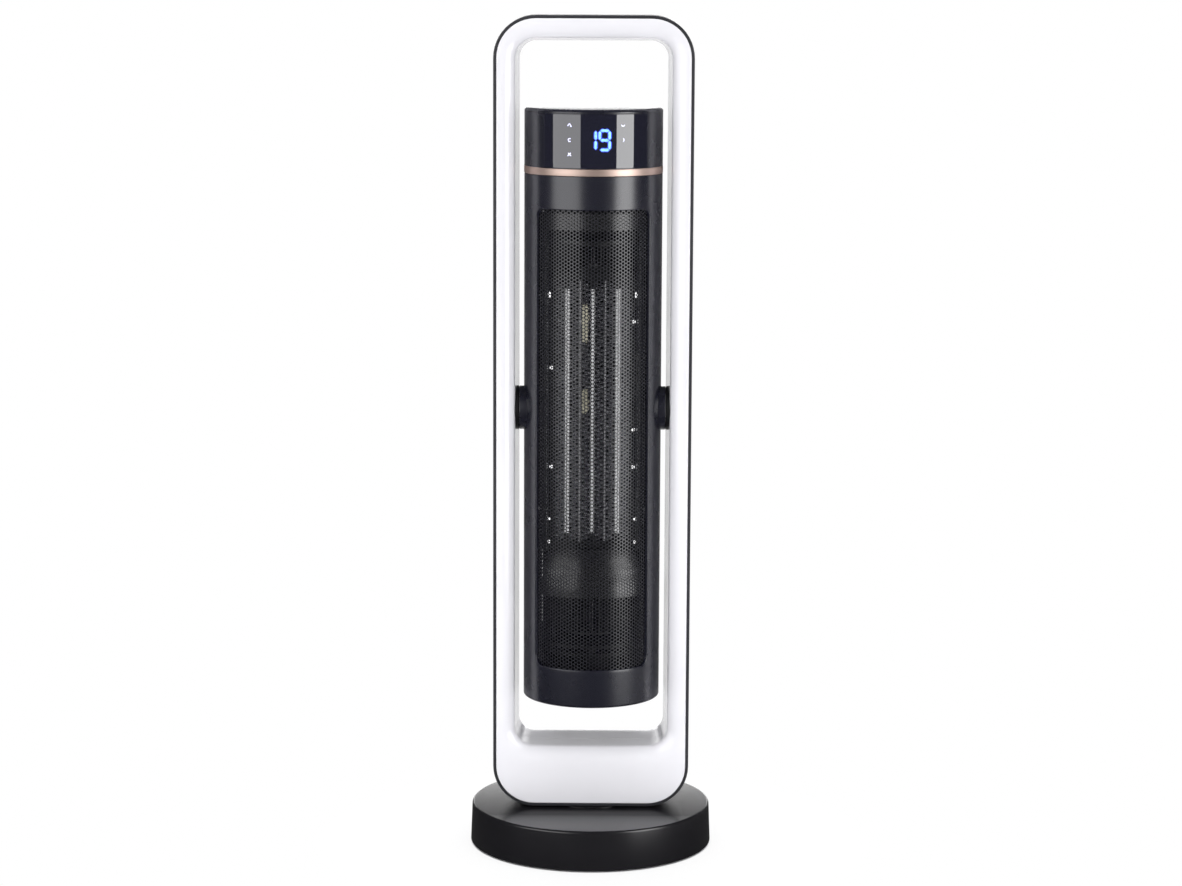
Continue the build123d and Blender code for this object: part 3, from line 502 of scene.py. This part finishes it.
def cut(piece, cutters, sharp=35):
    """Takes closed shapes, given as (vertices, faces), out of a piece."""
    tools = []
    for vertices, faces in cutters:
        mesh = bpy.data.meshes.new("cutter")
        mesh.from_pydata(vertices, [], faces)
        face_outwards(mesh)
        tool = bpy.data.objects.new("cutter", mesh)
        bpy.context.scene.collection.objects.link(tool)
        tools.append(tool)
        modifier = piece.modifiers.new("cut", "BOOLEAN")
        modifier.operation = "DIFFERENCE"
        modifier.solver = "EXACT"
        modifier.object = tool
    made = piece.evaluated_get(bpy.context.evaluated_depsgraph_get())
    mesh = bpy.data.meshes.new_from_object(made)
    piece.modifiers.clear()
    piece.data = mesh
    for polygon in mesh.polygons:
        polygon.use_smooth = True
    mesh.set_sharp_from_angle(angle=radians(sharp))
    for tool in tools:
        bpy.data.objects.remove(tool)


# ------------------------------------------------------------------ frame

outer_outline = rounded_rectangle(liner_half_width, liner_bottom, liner_top,
                                  frame_corner - band_thickness)
opening_outline = rounded_rectangle(opening_half_width, opening_bottom, opening_top, opening_corner)
liner_edge = 1.2 * MM
seam = 0.2 * MM
screw_recess = 3.2 * MM
frame_screw_places = [(side * 84.3 * MM, z * MM) for side in (-1, 1) for z in (150, 340, 540, 730)]
frame_screw_places += [(side * 50 * MM, 74 * MM) for side in (-1, 1)]


def frame_ring(outline, shift, y):
    """A ring of the frame at depth y, its outline shifted outwards."""
    return [(x + nx * shift, y, z + nz * shift) for x, z, nx, nz in outline]


def crown(face_radius, turn, edge_radius):
    """Points (distance from the opening, depth below the face) of a face that rolls inwards."""
    turn = radians(turn)
    edge_start = edge_radius * (1 - sin(turn))
    edge_depth = edge_radius * cos(turn)
    points = []
    for step in range(8):
        angle = turn * step / 8
        points.append((edge_start + face_radius * (sin(turn) - sin(angle)),
                       face_radius * (1 - cos(angle))))
    start_depth = face_radius * (1 - cos(turn))
    for step in range(17):
        angle = turn + (pi / 2 - turn) * step / 16
        points.append((edge_radius * (1 - sin(angle)), start_depth + edge_depth - edge_radius * cos(angle)))
    return points


def liner_rings(direction, roll):
    """Rings round a liner's surface, from its outer seam over its face to its inner seam."""
    face_y = direction * half_depth
    rings = [frame_ring(outer_outline, 0, direction * seam)]
    for angle in quarter(5):
        rings.append(frame_ring(outer_outline, -liner_edge * (1 - cos(angle)),
                                face_y - direction * liner_edge * (1 - sin(angle))))
    wall_y = face_y - direction * roll[-1][1]
    inner_start = -wall_y * draft
    for step in range(1, 4):
        ring = blended(outer_outline, opening_outline, step / 4, -liner_edge, inner_start + roll[0][0])
        rings.append([(x, face_y, z) for x, z in ring])
    for distance, depth in roll:
        rings.append(frame_ring(opening_outline, inner_start + distance, face_y - direction * depth))
    for step in range(1, 6):
        y = wall_y + (direction * seam - wall_y) * step / 5
        rings.append(frame_ring(opening_outline, -y * draft, y))
    rings.append(frame_ring(opening_outline, 0.5 * MM, direction * seam * 0.5))
    return rings


def make_frame(materials):
    """The white liners and the dark band round them."""
    vertices, faces = bridge(liner_rings(-1, crown(20 * MM, 45, 7 * MM)))
    finish_mesh("front_liner_skin", vertices, faces, materials["gloss_white"], "frame", "gloss_white",
                ["front_liner"], sharp=50)
    vertices, faces = bridge(liner_rings(1, crown(8 * MM, 15, 3 * MM)))
    rear = finish_mesh("rear_liner_skin", vertices, faces, materials["gloss_white"], "frame",
                       "gloss_white", ["rear_liner"], sharp=50)
    cut(rear, [round_cutter(frame_screw_places, screw_recess, half_depth - 5 * MM, half_depth + 5 * MM)],
        sharp=50)
    edge = 0.8 * MM
    section = rounded_path([(band_thickness, -band_half_depth, edge),
                            (band_thickness, band_half_depth, edge),
                            (0, band_half_depth, 0), (0, -band_half_depth, 0)], 4)
    rings = [frame_ring(outer_outline, shift, y) for shift, y in section]
    vertices, faces = bridge(rings)
    finish_mesh("band_skin", vertices, faces, materials["band_graphite"], "frame", "band_graphite",
                ["outer_band"])


# ------------------------------------------------------------------ base

inlet_hole = 7 * MM


def make_base(materials):
    """The round cover with its soft top edge."""
    inner = base_radius - 2.8 * MM
    top_radius = base_radius - 1.5 * MM
    skin = lathe_piece("base_skin", [
        (base_radius, base_bottom, 0.6 * MM), (top_radius, base_top, 2.6 * MM),
        (25 * MM, base_top, 0), (25 * MM, base_top - 3 * MM, 0),
        (top_radius - 2.8 * MM, base_top - 3 * MM, 1.5 * MM), (inner, base_bottom, 0)],
        materials["base_black"], "base", "base_black", ["base_cover"], count=256)
    switch_low, switch_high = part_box("switch_housing")
    inlet_low, inlet_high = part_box("cord_inlet")
    inlet_place = ((inlet_low.x + inlet_high.x) / 2, (inlet_low.z + inlet_high.z) / 2)
    cut(skin, [box_cutter(switch_low, switch_high + Vector((0, 10 * MM, 0))),
               round_cutter([inlet_place], inlet_hole, 0.09, 0.13)])
    # The flat top takes the material with the painted shade near the frame.
    skin.data.materials.append(materials["base_top"])
    for polygon in skin.data.polygons:
        if polygon.normal.z > 0.99:
            polygon.material_index = 1


# ------------------------------------------------------------------ head

hole_pitch = 3.46 * MM
outlet_radius = grille_high.x / sin(window_half_angle + radians(3))
recess_floor = 29 * MM
shell_screw_places = [(side * 56 * MM, z * MM) for side in (-1, 1) for z in (176, 330, 545, 652)]


def wrap(points, radius, facing):
    """Points (arc length at the head's surface, height) laid on a cylinder."""
    return [(radius * cos(facing + s / head_radius), radius * sin(facing + s / head_radius), z)
            for s, z in points]


def shell_piece(name, facing, half_angle, low, high, materials, replaced):
    """Half of the head's tube, with a window whose edge is rounded."""
    seam_gap = 0.12 * MM
    outside = rounded_rectangle(head_radius * pi / 2 - seam_gap, head_bottom + 2 * MM,
                                ring_bottom - 0.1 * MM, 0.3 * MM, across=72)
    window = rounded_rectangle(head_radius * half_angle, low, high, window_corner, across=72)
    lip = 0.9 * MM
    chamfer = 0.25 * MM
    inner_radius = head_radius - shell_wall
    rings = [wrap([(x, z) for x, z, _, _ in outside], head_radius - chamfer, facing)]
    for step in range(0, 15):
        rings.append(wrap(blended(outside, window, step / 15, -chamfer, lip), head_radius, facing))
    for angle in quarter(5):
        shifted = [(x + nx * lip * (1 - sin(angle)), z + nz * lip * (1 - sin(angle)))
                   for x, z, nx, nz in window]
        rings.append(wrap(shifted, head_radius - lip * (1 - cos(angle)), facing))
    for step in range(0, 16):
        rings.append(wrap(blended(window, outside, step / 15), inner_radius, facing))
    vertices, faces = bridge(rings)
    return finish_mesh(name, vertices, faces, materials["shell_black"], "head", "shell_black", replaced)


def perforated_piece(name, low, rows, materials, replaced=()):
    """Thin sheet with round holes in staggered columns, part of the outlet's height."""
    column = hole_pitch * sqrt(3) / 2
    hole = 1.38 * MM
    layers = (outlet_radius, outlet_radius - 0.6 * MM)
    columns = int(2 * (window_half_angle + radians(2.6)) * outlet_radius / column)
    start = -columns * column / 2
    sides = 12
    vertices, faces, known = [], [], {}

    def point(radius, s, z):
        angle = FRONT + s / outlet_radius
        vertices.append((radius * cos(angle), radius * sin(angle), z))
        return len(vertices) - 1

    def corner(i, j, layer):
        if (i, j, layer) not in known:
            known[(i, j, layer)] = point(layers[layer], start + i * column, low + j * hole_pitch / 2)
        return known[(i, j, layer)]

    def cell(i, j):
        """A six-sided piece of the sheet round one hole."""
        middle_s = start + (i + 0.5) * column
        middle_z = low + (j + 1) * hole_pitch / 2
        first = len(vertices)
        for radius in layers:
            for n in range(sides):
                turn = 2 * pi * n / sides
                point(radius, middle_s + hole * cos(turn), middle_z + hole * sin(turn))
        for layer in (0, 1):
            edge = [(i, j), (i + 1, j), (i + 1, j + 1), (i + 1, j + 2), (i, j + 2), (i, j + 1)]
            ring = [corner(*place, layer) for place in edge]
            for n in range(6):
                arc = [first + layer * sides + (8 + 2 * n + k) % sides for k in range(3)]
                face = (ring[n], ring[(n + 1) % 6], *reversed(arc))
                faces.append(face if layer == 0 else tuple(reversed(face)))
        for n in range(sides):
            m = (n + 1) % sides
            faces.append((first + n, first + m, first + sides + m, first + sides + n))

    for i in range(columns):
        for row in range(rows):
            cell(i, 2 * row + i % 2)
    finish_mesh(name, vertices, faces, materials["mesh_black"], "head", "mesh_black", replaced, 30)


def arc_patch(name, facing, half_angle, low, high, outer, inner, edge, materials, slot, replaced=(),
              columns=64, rows=8):
    """A curved plate with softly rounded front edges."""
    half = half_angle * outer

    def grid(radius, shrink):
        return [[(radius * cos(facing + (half - shrink) / outer * (2 * i / columns - 1)),
                  radius * sin(facing + (half - shrink) / outer * (2 * i / columns - 1)),
                  low + shrink + (high - low - 2 * shrink) * j / rows)
                 for i in range(columns + 1)] for j in range(rows + 1)]

    def border(points):
        bottom = points[0][:-1]
        right = [row[-1] for row in points[:-1]]
        top = list(reversed(points[-1][1:]))
        left = [row[0] for row in reversed(points[1:])]
        return bottom + right + top + left

    front_grid = grid(outer, edge)
    back_grid = grid(inner, 0)
    rings = [border(grid(outer - edge * (1 - cos(a)), edge * (1 - sin(a)))) for a in quarter(5)]
    rings.append(border(back_grid))
    vertices, faces = bridge(rings, closed=False)
    for points, flip in ((front_grid, False), (back_grid, True)):
        first = len(vertices)
        vertices += [p for row in points for p in row]
        for j in range(rows):
            for i in range(columns):
                a = first + j * (columns + 1) + i
                face = (a, a + 1, a + columns + 2, a + columns + 1)
                faces.append(tuple(reversed(face)) if flip else face)
    piece = finish_mesh(name, vertices, faces, materials[slot], "head", slot, replaced)
    work = bmesh.new()
    work.from_mesh(piece.data)
    bmesh.ops.remove_doubles(work, verts=work.verts, dist=0.001 * MM)
    work.to_mesh(piece.data)
    work.free()
    face_outwards(piece.data)


def make_head(materials):
    """The tilting black head: shells, window mesh, ring, panel and caps."""
    shell_piece("front_shell_skin", FRONT, window_half_angle, window_bottom, window_top, materials,
                ["front_shell"])
    rear_shell = shell_piece("rear_shell_skin", REAR, rear_window_half_angle, rear_window_bottom,
                             rear_window_top, materials, ["rear_shell"])
    cut(rear_shell, [round_cutter(shell_screw_places, screw_recess, recess_floor, head_radius)])
    boss_outer, boss_inner = 4 * MM, 1.7 * MM
    boss_start, boss_end = 5 * MM, recess_floor + 1 * MM
    outline = [(boss_outer, boss_start), (boss_outer, boss_end), (screw_recess, boss_end),
               (screw_recess, recess_floor), (boss_inner, recess_floor), (boss_inner, boss_start)]
    vertices, faces = joined([bridge([circle_across(x, z, radius, y) for radius, y in outline])
                              for x, z in shell_screw_places])
    finish_mesh("shell_bosses", vertices, faces, materials["shell_black"], "head", "shell_black",
                ["rear_shell"])
    wall = head_radius - shell_wall
    foot_top, floor_top = head_bottom + 2.05 * MM, head_bottom + 0.9 * MM
    lathe_piece("shell_foot", [(head_radius, head_bottom, 2 * MM), (head_radius, foot_top, 0),
                               (wall, foot_top, 0), (wall, floor_top, 0), (4 * MM, floor_top, 0),
                               (4 * MM, head_bottom + 0.3 * MM, 0), (60 * MM, head_bottom, 0)],
                materials["shell_black"], "head", "shell_black", ["bottom_cap"])
    height = window_top - window_bottom + 6 * MM
    rows = int(height / hole_pitch / 2) + 1
    low = window_bottom - 3 * MM
    perforated_piece("outlet_mesh_lower", low, rows, materials, ["front_grille"])
    perforated_piece("outlet_mesh_upper", low + rows * hole_pitch, rows, materials, ["front_grille"])
    lathe_piece("ring_skin", [(head_radius + 0.2 * MM, ring_bottom, 0.7 * MM),
                              (head_radius + 0.2 * MM, ring_top, 0.7 * MM),
                              (head_radius - 2 * MM, ring_top, 0), (head_radius - 2 * MM, ring_bottom, 0)],
                materials["rose_gold"], "head", "rose_gold", ["trim_ring"], count=256)
    lathe_piece("top_cap_skin", [(head_radius, cap_bottom + 0.15 * MM, 0.3 * MM),
                                 (head_radius, head_top, 3.2 * MM), (0.05 * MM, head_top, 0),
                                 (0.05 * MM, cap_bottom + 0.15 * MM, 0)],
                materials["shell_black"], "head", "shell_black", ["top_cap"], count=256)
    arc_patch("panel_skin", FRONT + panel_turn, panel_half_angle, panel_low.z, panel_high.z,
              head_radius, head_radius - 1.5 * MM, 0.35 * MM, materials, "panel_black",
              replaced=["control_panel"], columns=96)


# ------------------------------------------------------------------ display

DISPLAY_LIFT = 0.05 * MM
digit_height = 20.8 * MM
digit_width = 12.0 * MM
stroke = 2.5 * MM
digit_low = 694.4 * MM
one_right = 3.3 * MM
nine_place = 4.7 * MM
glow_reach = 0.9 * MM


def surface_shape(name, outline, lift, material, slot):
    """A flat outline (arc length, height) laid on the panel as a thin raised shape."""
    rings = [wrap(outline, head_radius + lift - depth, FRONT) for depth in (0, 0.25 * MM)]
    return finish_mesh(name, *capped(rings), material, "head", slot)


def segment(start, end, width):
    """A display segment: a bar with pointed ends."""
    (x0, z0), (x1, z1) = start, end
    length = hypot(x1 - x0, z1 - z0)
    dx, dz = (x1 - x0) / length, (z1 - z0) / length
    tip = width / 2
    corners = [(x0, z0, 0), (x0 + dx * tip - dz * tip, z0 + dz * tip + dx * tip, 0.5 * MM),
               (x1 - dx * tip - dz * tip, z1 - dz * tip + dx * tip, 0.5 * MM), (x1, z1, 0),
               (x1 - dx * tip + dz * tip, z1 - dz * tip - dx * tip, 0.5 * MM),
               (x0 + dx * tip + dz * tip, z0 + dz * tip - dx * tip, 0.5 * MM)]
    return rounded_path(corners, 3)


def digit_segments(place, lit, spread=0.0):
    """The lit segments of one seven-segment digit whose left edge is at place, grown by spread."""
    left, right = place + stroke / 2, place + digit_width - stroke / 2
    low, high = digit_low + stroke / 2, digit_low + digit_height - stroke / 2
    middle = (low + high) / 2
    gap = 0.5 * MM - spread
    ends = {
        "top": ((left + gap, high), (right - gap, high)),
        "middle": ((left + gap, middle), (right - gap, middle)),
        "bottom": ((left + gap, low), (right - gap, low)),
        "upper_left": ((left, middle + gap), (left, high - gap)),
        "upper_right": ((right, middle + gap), (right, high - gap)),
        "lower_left": ((left, low + gap), (left, middle - gap)),
        "lower_right": ((right, low + gap), (right, middle - gap)),
    }
    return [segment(*ends[name], stroke + 2 * spread) for name in lit]


def stroke_outline(points, width):
    """A bent line with a width, as one closed outline."""
    left, right = [], []
    for i, (x, z) in enumerate(points):
        x0, z0 = points[max(i - 1, 0)]
        x1, z1 = points[min(i + 1, len(points) - 1)]
        length = hypot(x1 - x0, z1 - z0)
        nx, nz = -(z1 - z0) / length * width / 2, (x1 - x0) / length * width / 2
        left.append((x + nx, z + nz))
        right.append((x - nx, z - nz))
    return left + right[::-1]


def arc_points(centre, radius, start, end, count=14):
    """Points along an arc, angles in degrees."""
    return [(centre[0] + radius * cos(radians(start + (end - start) * n / count)),
             centre[1] + radius * sin(radians(start + (end - start) * n / count)))
            for n in range(count + 1)]


def make_icons(material):
    """Plain touch symbols on both sides of the digits."""
    line = 0.85 * MM
    left = radians(-20) * head_radius
    right = radians(24.6) * head_radius
    top, middle, bottom = 719.2 * MM, 704.8 * MM, 691.0 * MM
    size = 1.7 * MM
    strokes = [
        [(left - size, top - size * 0.6), (left, top + size * 0.7), (left + size, top - size * 0.6)],
        [(left + size * 0.4, top - size * 0.9), (left + size * 1.3, top - size * 0.9)],
        arc_points((left + 0.3 * MM, middle), size * 0.85, 50, 310),
        [(left - size, bottom - size * 0.8), (left + size * 0.9, bottom + size * 0.9)],
        [(left - size * 0.7, bottom + size * 0.8), (left - 0.1 * MM, bottom + 0.5 * MM)],
        [(left + 0.5 * MM, bottom - 0.3 * MM), (left + size, bottom - size * 0.8)],
        arc_points((right, top + size * 0.2), size * 0.9, 190, 350),
        arc_points((right - size * 0.4, middle), size, -60, 60),
    ]
    for number, points in enumerate(strokes):
        shape = stroke_outline(points, line)
        surface_shape("touch_symbol_" + str(number), shape, DISPLAY_LIFT + number * 0.002 * MM,
                      material, "panel_black")


def make_display(materials):
    """The lit digits and the deep blue glow round them."""
    for name, lift, spread, finish in (("digit_glow", 1, glow_reach, "digit_glow"),
                                       ("lit_digits", 2, 0.0, "digit_blue")):
        one = digit_segments(one_right - digit_width, ["upper_right", "lower_right"], spread)
        nine = digit_segments(nine_place, ["top", "upper_left", "upper_right", "middle",
                                           "lower_right", "bottom"], spread)
        for number, shape in enumerate(one + nine):
            surface_shape(name + "_" + str(number), shape, DISPLAY_LIFT * lift + number * 0.002 * MM,
                          materials[finish], "panel_black")
    make_icons(materials["icon_white"])


# ------------------------------------------------------------------ intake at the rear


def make_intake(materials):
    """Rounded slats and upright ribs in the rear window."""
    radius = head_radius - 1.8 * MM
    half = rear_window_half_angle - radians(0.6)
    slat = rounded_path([(1.0 * MM, -1.1 * MM, 0.5 * MM), (1.0 * MM, 1.1 * MM, 0.5 * MM),
                         (-1.6 * MM, 0.3 * MM, 0.4 * MM), (-1.6 * MM, -1.7 * MM, 0.4 * MM)], 3)
    rib = rounded_path([(0.2 * MM, -1.0 * MM, 0.3 * MM), (0.2 * MM, 1.0 * MM, 0.3 * MM),
                        (-2.2 * MM, 1.0 * MM, 0), (-2.2 * MM, -1.0 * MM, 0)], 3)
    steps = 48
    angles = [REAR + half * (2 * step / steps - 1) for step in range(steps + 1)]
    pitch = 7.2 * MM
    count = int((rear_window_top - rear_window_bottom - 6 * MM) / pitch)
    spare = (rear_window_top - rear_window_bottom - (count - 1) * pitch) / 2
    shapes = []
    for n in range(count):
        height = rear_window_bottom + spare + n * pitch
        shapes.append(capped([[((radius + out) * cos(angle), (radius + out) * sin(angle), height + up)
                               for out, up in slat] for angle in angles]))
    for share in (-0.6, -0.2, 0.2, 0.6):
        rings = []
        for height in (rear_window_bottom + 0.5 * MM, rear_window_top - 0.5 * MM):
            ring = []
            for out, aside in rib:
                angle = REAR + half * share + aside / radius
                ring.append(((radius + out) * cos(angle), (radius + out) * sin(angle), height))
            rings.append(ring)
        shapes.append(capped(rings))
    finish_mesh("intake_slats", *joined(shapes), materials["inner_black"], "head", "inner_black",
                ["rear_grille"])


# ------------------------------------------------------------------ pivots and duct


def make_pivots(materials):
    """Head-side hubs and frame-side sockets with rounded rims."""
    bore = 9 * MM
    drums = (("hub_", (58.6 * MM, 0), (71.7 * MM, 0.8 * MM), "shell_black", "head", "pivot_hubs"),
             ("socket_", (72.0 * MM, 0.6 * MM), (78 * MM, 0), "inner_black", "frame", "pivot_sockets"))
    for side, word in ((-1, "left"), (1, "right")):
        for name, near, far, slot, body, node in drums:
            profile = rounded_path([(pivot_radius, *near), (pivot_radius, *far),
                                    (bore, far[0], 0), (bore, near[0], 0)], 5)
            vertices, faces = bridge(lathe(profile, 128, "x", pivot_height, side))
            finish_mesh(name + word, vertices, faces, materials[slot], body, slot, [node])


def make_fasteners(materials):
    """Domed zinc screws and two clips on the element's side rails, with a painted glint: the zinc glows
    faintly.
    """
    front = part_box("rail_screws")[0].y
    wide, narrow = 42.3 * MM, 39.9 * MM
    dome, rise, foot = 0.9, 1.2 * MM, 2.5 * MM
    screws = [(side * wide, z * MM) for side in (-1, 1) for z in (311.0, 334.0)]
    screws += [(side * narrow, 385.5 * MM) for side in (-1, 1)]
    screws += [(-narrow, 482.8 * MM), (narrow, 422.3 * MM), (narrow, 528.1 * MM)]
    clips = [(side * wide, 554.0 * MM) for side in (-1, 1)]
    shapes = []
    for places, half_width, half_height in ((screws, 1.7 * MM, 1.7 * MM), (clips, 1.4 * MM, 2.9 * MM)):
        outline = rounded_rectangle(half_width, -half_height, half_height, half_width * 0.98, 5, 2, 2)
        for x, z in places:
            rings = []
            for angle in quarter(4):
                inset = -half_width * dome * (1 - cos(angle))
                y = front + rise * (1 - sin(angle))
                rings.append([(x + px + nx * inset, y, z + pz + nz * inset) for px, pz, nx, nz in outline])
            rings.insert(0, [(px, front + foot, pz) for px, _, pz in rings[0]])
            shapes.append(capped(rings))
    finish_mesh("rail_fasteners", *joined(shapes), materials["zinc_with_painted_glint"], "head", "steel",
                ["rail_screws"])


def make_paste(materials):
    """Two cream patches of thermal paste between the left and the middle of the element."""
    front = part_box("ptc_fins")[0].y - 0.3 * MM
    middle = -7.2 * MM
    shapes = []
    for low, high, seed in ((508.0, 545.0, 0.0), (438.0, 462.0, 2.0)):
        outline = rounded_rectangle(3.2 * MM, low * MM, high * MM, 3.0 * MM, 6, 3, 9)
        rings = []
        for depth, inset in ((0.5, 0), (0.1, 0.1), (0, 0.7)):
            ring = []
            for n, (x, z, nx, nz) in enumerate(outline):
                wave = 0.7 * MM * sin(n * 1.7 + seed) + 0.4 * MM * sin(n * 0.6 + seed) - inset * MM
                ring.append((x + nx * wave + middle, front + depth * MM, z + nz * wave))
            rings.append(ring)
        shapes.append(capped(rings))
    finish_mesh("thermal_paste", *joined(shapes), materials["cream_paste"], "head", "acetal")


def flare(name, profile, centre_y, half_angle, thickness, material, slot, replaced, columns=56):
    """A curved plate whose radius about centre_y follows a profile of (radius, height) points."""

    def row(radius, z):
        angles = [FRONT + half_angle * (2 * i / columns - 1) for i in range(columns + 1)]
        return [(radius * cos(angle), centre_y + radius * sin(angle), z) for angle in angles]

    front = [row(radius, z) for radius, z in profile]
    back = [row(radius - thickness, z) for radius, z in profile]
    rings = [front_row + back_row[::-1] for front_row, back_row in zip(front, back)]
    finish_mesh(name, *capped(rings), material, "head", slot, replaced)


def make_duct(materials):
    """The curved duct plate round the heating element, flared outwards below it."""
    outer, inner = 62 * MM, 60 * MM
    half, post_turn, bead_turn = radians(52), radians(49.75), radians(46.4)
    window_low, window_high = 304.5 * MM, 617.5 * MM
    lip_radius, lip_centre, steps = 74 * MM, 14.5 * MM, 12
    profile = []
    for step in range(steps + 1):
        share = step / steps
        profile.append((lip_radius - (lip_radius - outer) * share ** 2.5,
                        duct_low.z + (window_low - duct_low.z) * share))
    flare("duct_lower", profile, lip_centre, asin(outer * sin(half) / lip_radius), 1.5 * MM,
          materials["duct_black"], "duct_black", ["heater_duct"])
    arc_patch("duct_upper", FRONT, half, window_high, duct_high.z, outer, inner, 0.8 * MM, materials,
              "duct_black", replaced=["heater_duct"], columns=48)
    for side, word in ((-1, "left"), (1, "right")):
        arc_patch("duct_" + word, FRONT + side * post_turn, radians(2.25), window_low, window_high,
                  outer, inner, 0.4 * MM, materials, "duct_black", replaced=["heater_duct"], columns=6)
        arc_patch("duct_bead_" + word, FRONT + side * bead_turn, radians(0.45), window_low,
                  window_high, outer, inner, 0.3 * MM, materials, "steel", columns=2)


# ------------------------------------------------------------------ carried-over CAD nodes


def dress_frame_nodes(materials):
    """Every CAD node gets the material of its slot, but for two: the steel fan motor is painted black as
    painted shade inside the head, and the element's separators get a darker, duller aluminium.
    """
    # The fan motor's black is painted shade: a steel part darkened because the inside of the head lies in
    # shade.
    repainted = {"ptc_separators": "dull_aluminium", "fan_motor": "inner_black"}
    slots = {part["node"]: part["material_slot"] for part in frame["record"]["subparts"]}
    for node, item in frame["nodes"].items():
        item.data.materials.clear()
        item.data.materials.append(materials[repainted.get(node, slots[node])])


# ------------------------------------------------------------------ studio


def make_world():
    """White to the camera, a dim grey room to everything else."""
    world = bpy.data.worlds.new("studio")
    bpy.context.scene.world = world
    world.use_nodes = True
    graph = Graph(world.node_tree)
    room = graph.nodes["Background"]
    room.inputs["Color"].default_value = (1, 1, 1, 1)
    path = graph.node("LightPath").outputs
    dim = graph.spread(path["Is Diffuse Ray"], 0.05, 0.45, near=0.0, far=1.0)
    graph.links.new(dim, room.inputs["Strength"])
    white = graph.node("Background", Color=(1, 1, 1, 1), Strength=1.0)
    seen = graph.blend(path["Is Camera Ray"], room.outputs["Background"], white.outputs["Background"])
    graph.links.new(seen, graph.nodes["World Output"].inputs["Surface"])


def make_floor():
    """A plain white floor with a faint contact shadow, mirrored dark in front and white behind."""
    bpy.ops.mesh.primitive_circle_add(vertices=96, radius=90, fill_type="NGON")
    floor = bpy.context.object
    floor.name = "floor"
    material = bpy.data.materials.new("floor")
    material.use_nodes = True
    graph = Graph(material.node_tree)
    paint = graph.nodes["Principled BSDF"]
    paint.inputs["Base Color"].default_value = (0.82, 0.82, 0.83, 1)
    paint.inputs["Roughness"].default_value = 0.7
    place = graph.node("TexCoord").outputs["Object"]
    axes = graph.node("SeparateXYZ", Vector=place).outputs
    length = graph.node("VectorMath")
    length.operation = "LENGTH"
    graph.links.new(place, length.inputs[0])
    away = length.outputs["Value"]
    path = graph.node("LightPath").outputs

    rearward = graph.calculate("MULTIPLY_ADD", graph.calculate("ABSOLUTE", axes["X"]), -1.5, axes["Y"])
    behind = graph.spread(rearward, 0.05, 1.0, near=0.0, far=0.3)
    sideways = graph.spread(axes["X"], 0.05, 0.45, near=0.25, far=0.8)
    nearby = graph.spread(away, 1.0, 0.0, near=0.9, far=1.5)
    beside = graph.calculate("MULTIPLY", sideways, nearby)
    mirrored = graph.node("Emission", Strength=graph.calculate("MAXIMUM", behind, beside))
    lit = graph.blend(path["Is Glossy Ray"], paint.outputs["BSDF"], mirrored.outputs["Emission"])

    fade = graph.spread(away, 0.80, 1.0, near=0.10, far=0.28)
    under = graph.spread(away, 0.0, 1.0, near=0.1185, far=0.1205)
    share = graph.calculate("MULTIPLY", path["Is Camera Ray"], graph.calculate("MULTIPLY", fade, under))
    glow = graph.node("Emission", Strength=1.0)
    seen = graph.blend(share, lit, glow.outputs["Emission"])
    graph.links.new(seen, graph.nodes["Material Output"].inputs["Surface"])
    floor.data.materials.append(material)


def area_light(name, width, height, energy, place, mirrored):
    """A rectangular light that shows only as a reflection if mirrored and only as soft light
    if not; the camera never sees it."""
    data = bpy.data.lights.new(name, "AREA")
    data.shape = "RECTANGLE"
    data.size = width
    data.size_y = height
    data.energy = energy
    light = bpy.data.objects.new(name, data)
    light.location = place
    light.visible_camera = False
    light.visible_glossy = mirrored
    light.visible_diffuse = not mirrored
    bpy.context.scene.collection.objects.link(light)
    return light


def softbox(name, start, end, distance, low, high, radiance, mirrored):
    """An upright light between two bearings from the front, facing the heater's axis."""
    middle = radians((start + end) / 2)
    width = 2 * distance * tan(radians(abs(end - start) / 2))
    place = (distance * sin(middle), -distance * cos(middle), (low + high) / 2)
    light = area_light(name, width, high - low, radiance * pi * width * (high - low), place, mirrored)
    light.rotation_euler = (pi / 2, 0, middle)


def make_lights():
    """Two tall softboxes that show as reflections, and soft fill that does not."""
    softbox("left_softbox", -69.4, -21.1, 1.3, 0.14, 1.30, 2.1, mirrored=True)
    softbox("right_softbox", 37.4, 68.2, 1.3, 0.0, 1.30, 4.3, mirrored=True)
    softbox("rear_strip", 165, 195, 10.0, 0.7, 2.0, 5.0, mirrored=True)
    softbox("rear_backdrop", 155, 205, 10.0, 2.0, 3.8, 1.1, mirrored=True)
    softbox("left_fill", -69.4, -21.1, 1.3, 0.0, 1.3, 0.8, mirrored=False)
    softbox("right_fill", 37.4, 68.2, 1.3, 0.0, 1.3, 1.4, mirrored=False)
    softbox("front_fill", -28, 28, 1.8, 0.1, 2.2, 1.4, mirrored=False)
    softbox("low_fill", -35, 35, 1.25, 0.0, 0.35, 3.3, mirrored=False)
    softbox("rear_fill", 120, 240, 1.6, 0.4, 2.2, 0.8, mirrored=False)
    area_light("top_fill", 2.0, 1.6, 55, (0, 0.2, 2.4), mirrored=False)


# ------------------------------------------------------------------ all together

bpy.context.scene.view_settings.view_transform = "Standard"
make_camera()
materials = make_materials()
dress_frame_nodes(materials)
make_frame(materials)
make_base(materials)
make_head(materials)
make_display(materials)
make_intake(materials)
make_pivots(materials)
make_duct(materials)
make_fasteners(materials)
make_paste(materials)
make_world()
make_floor()
make_lights()
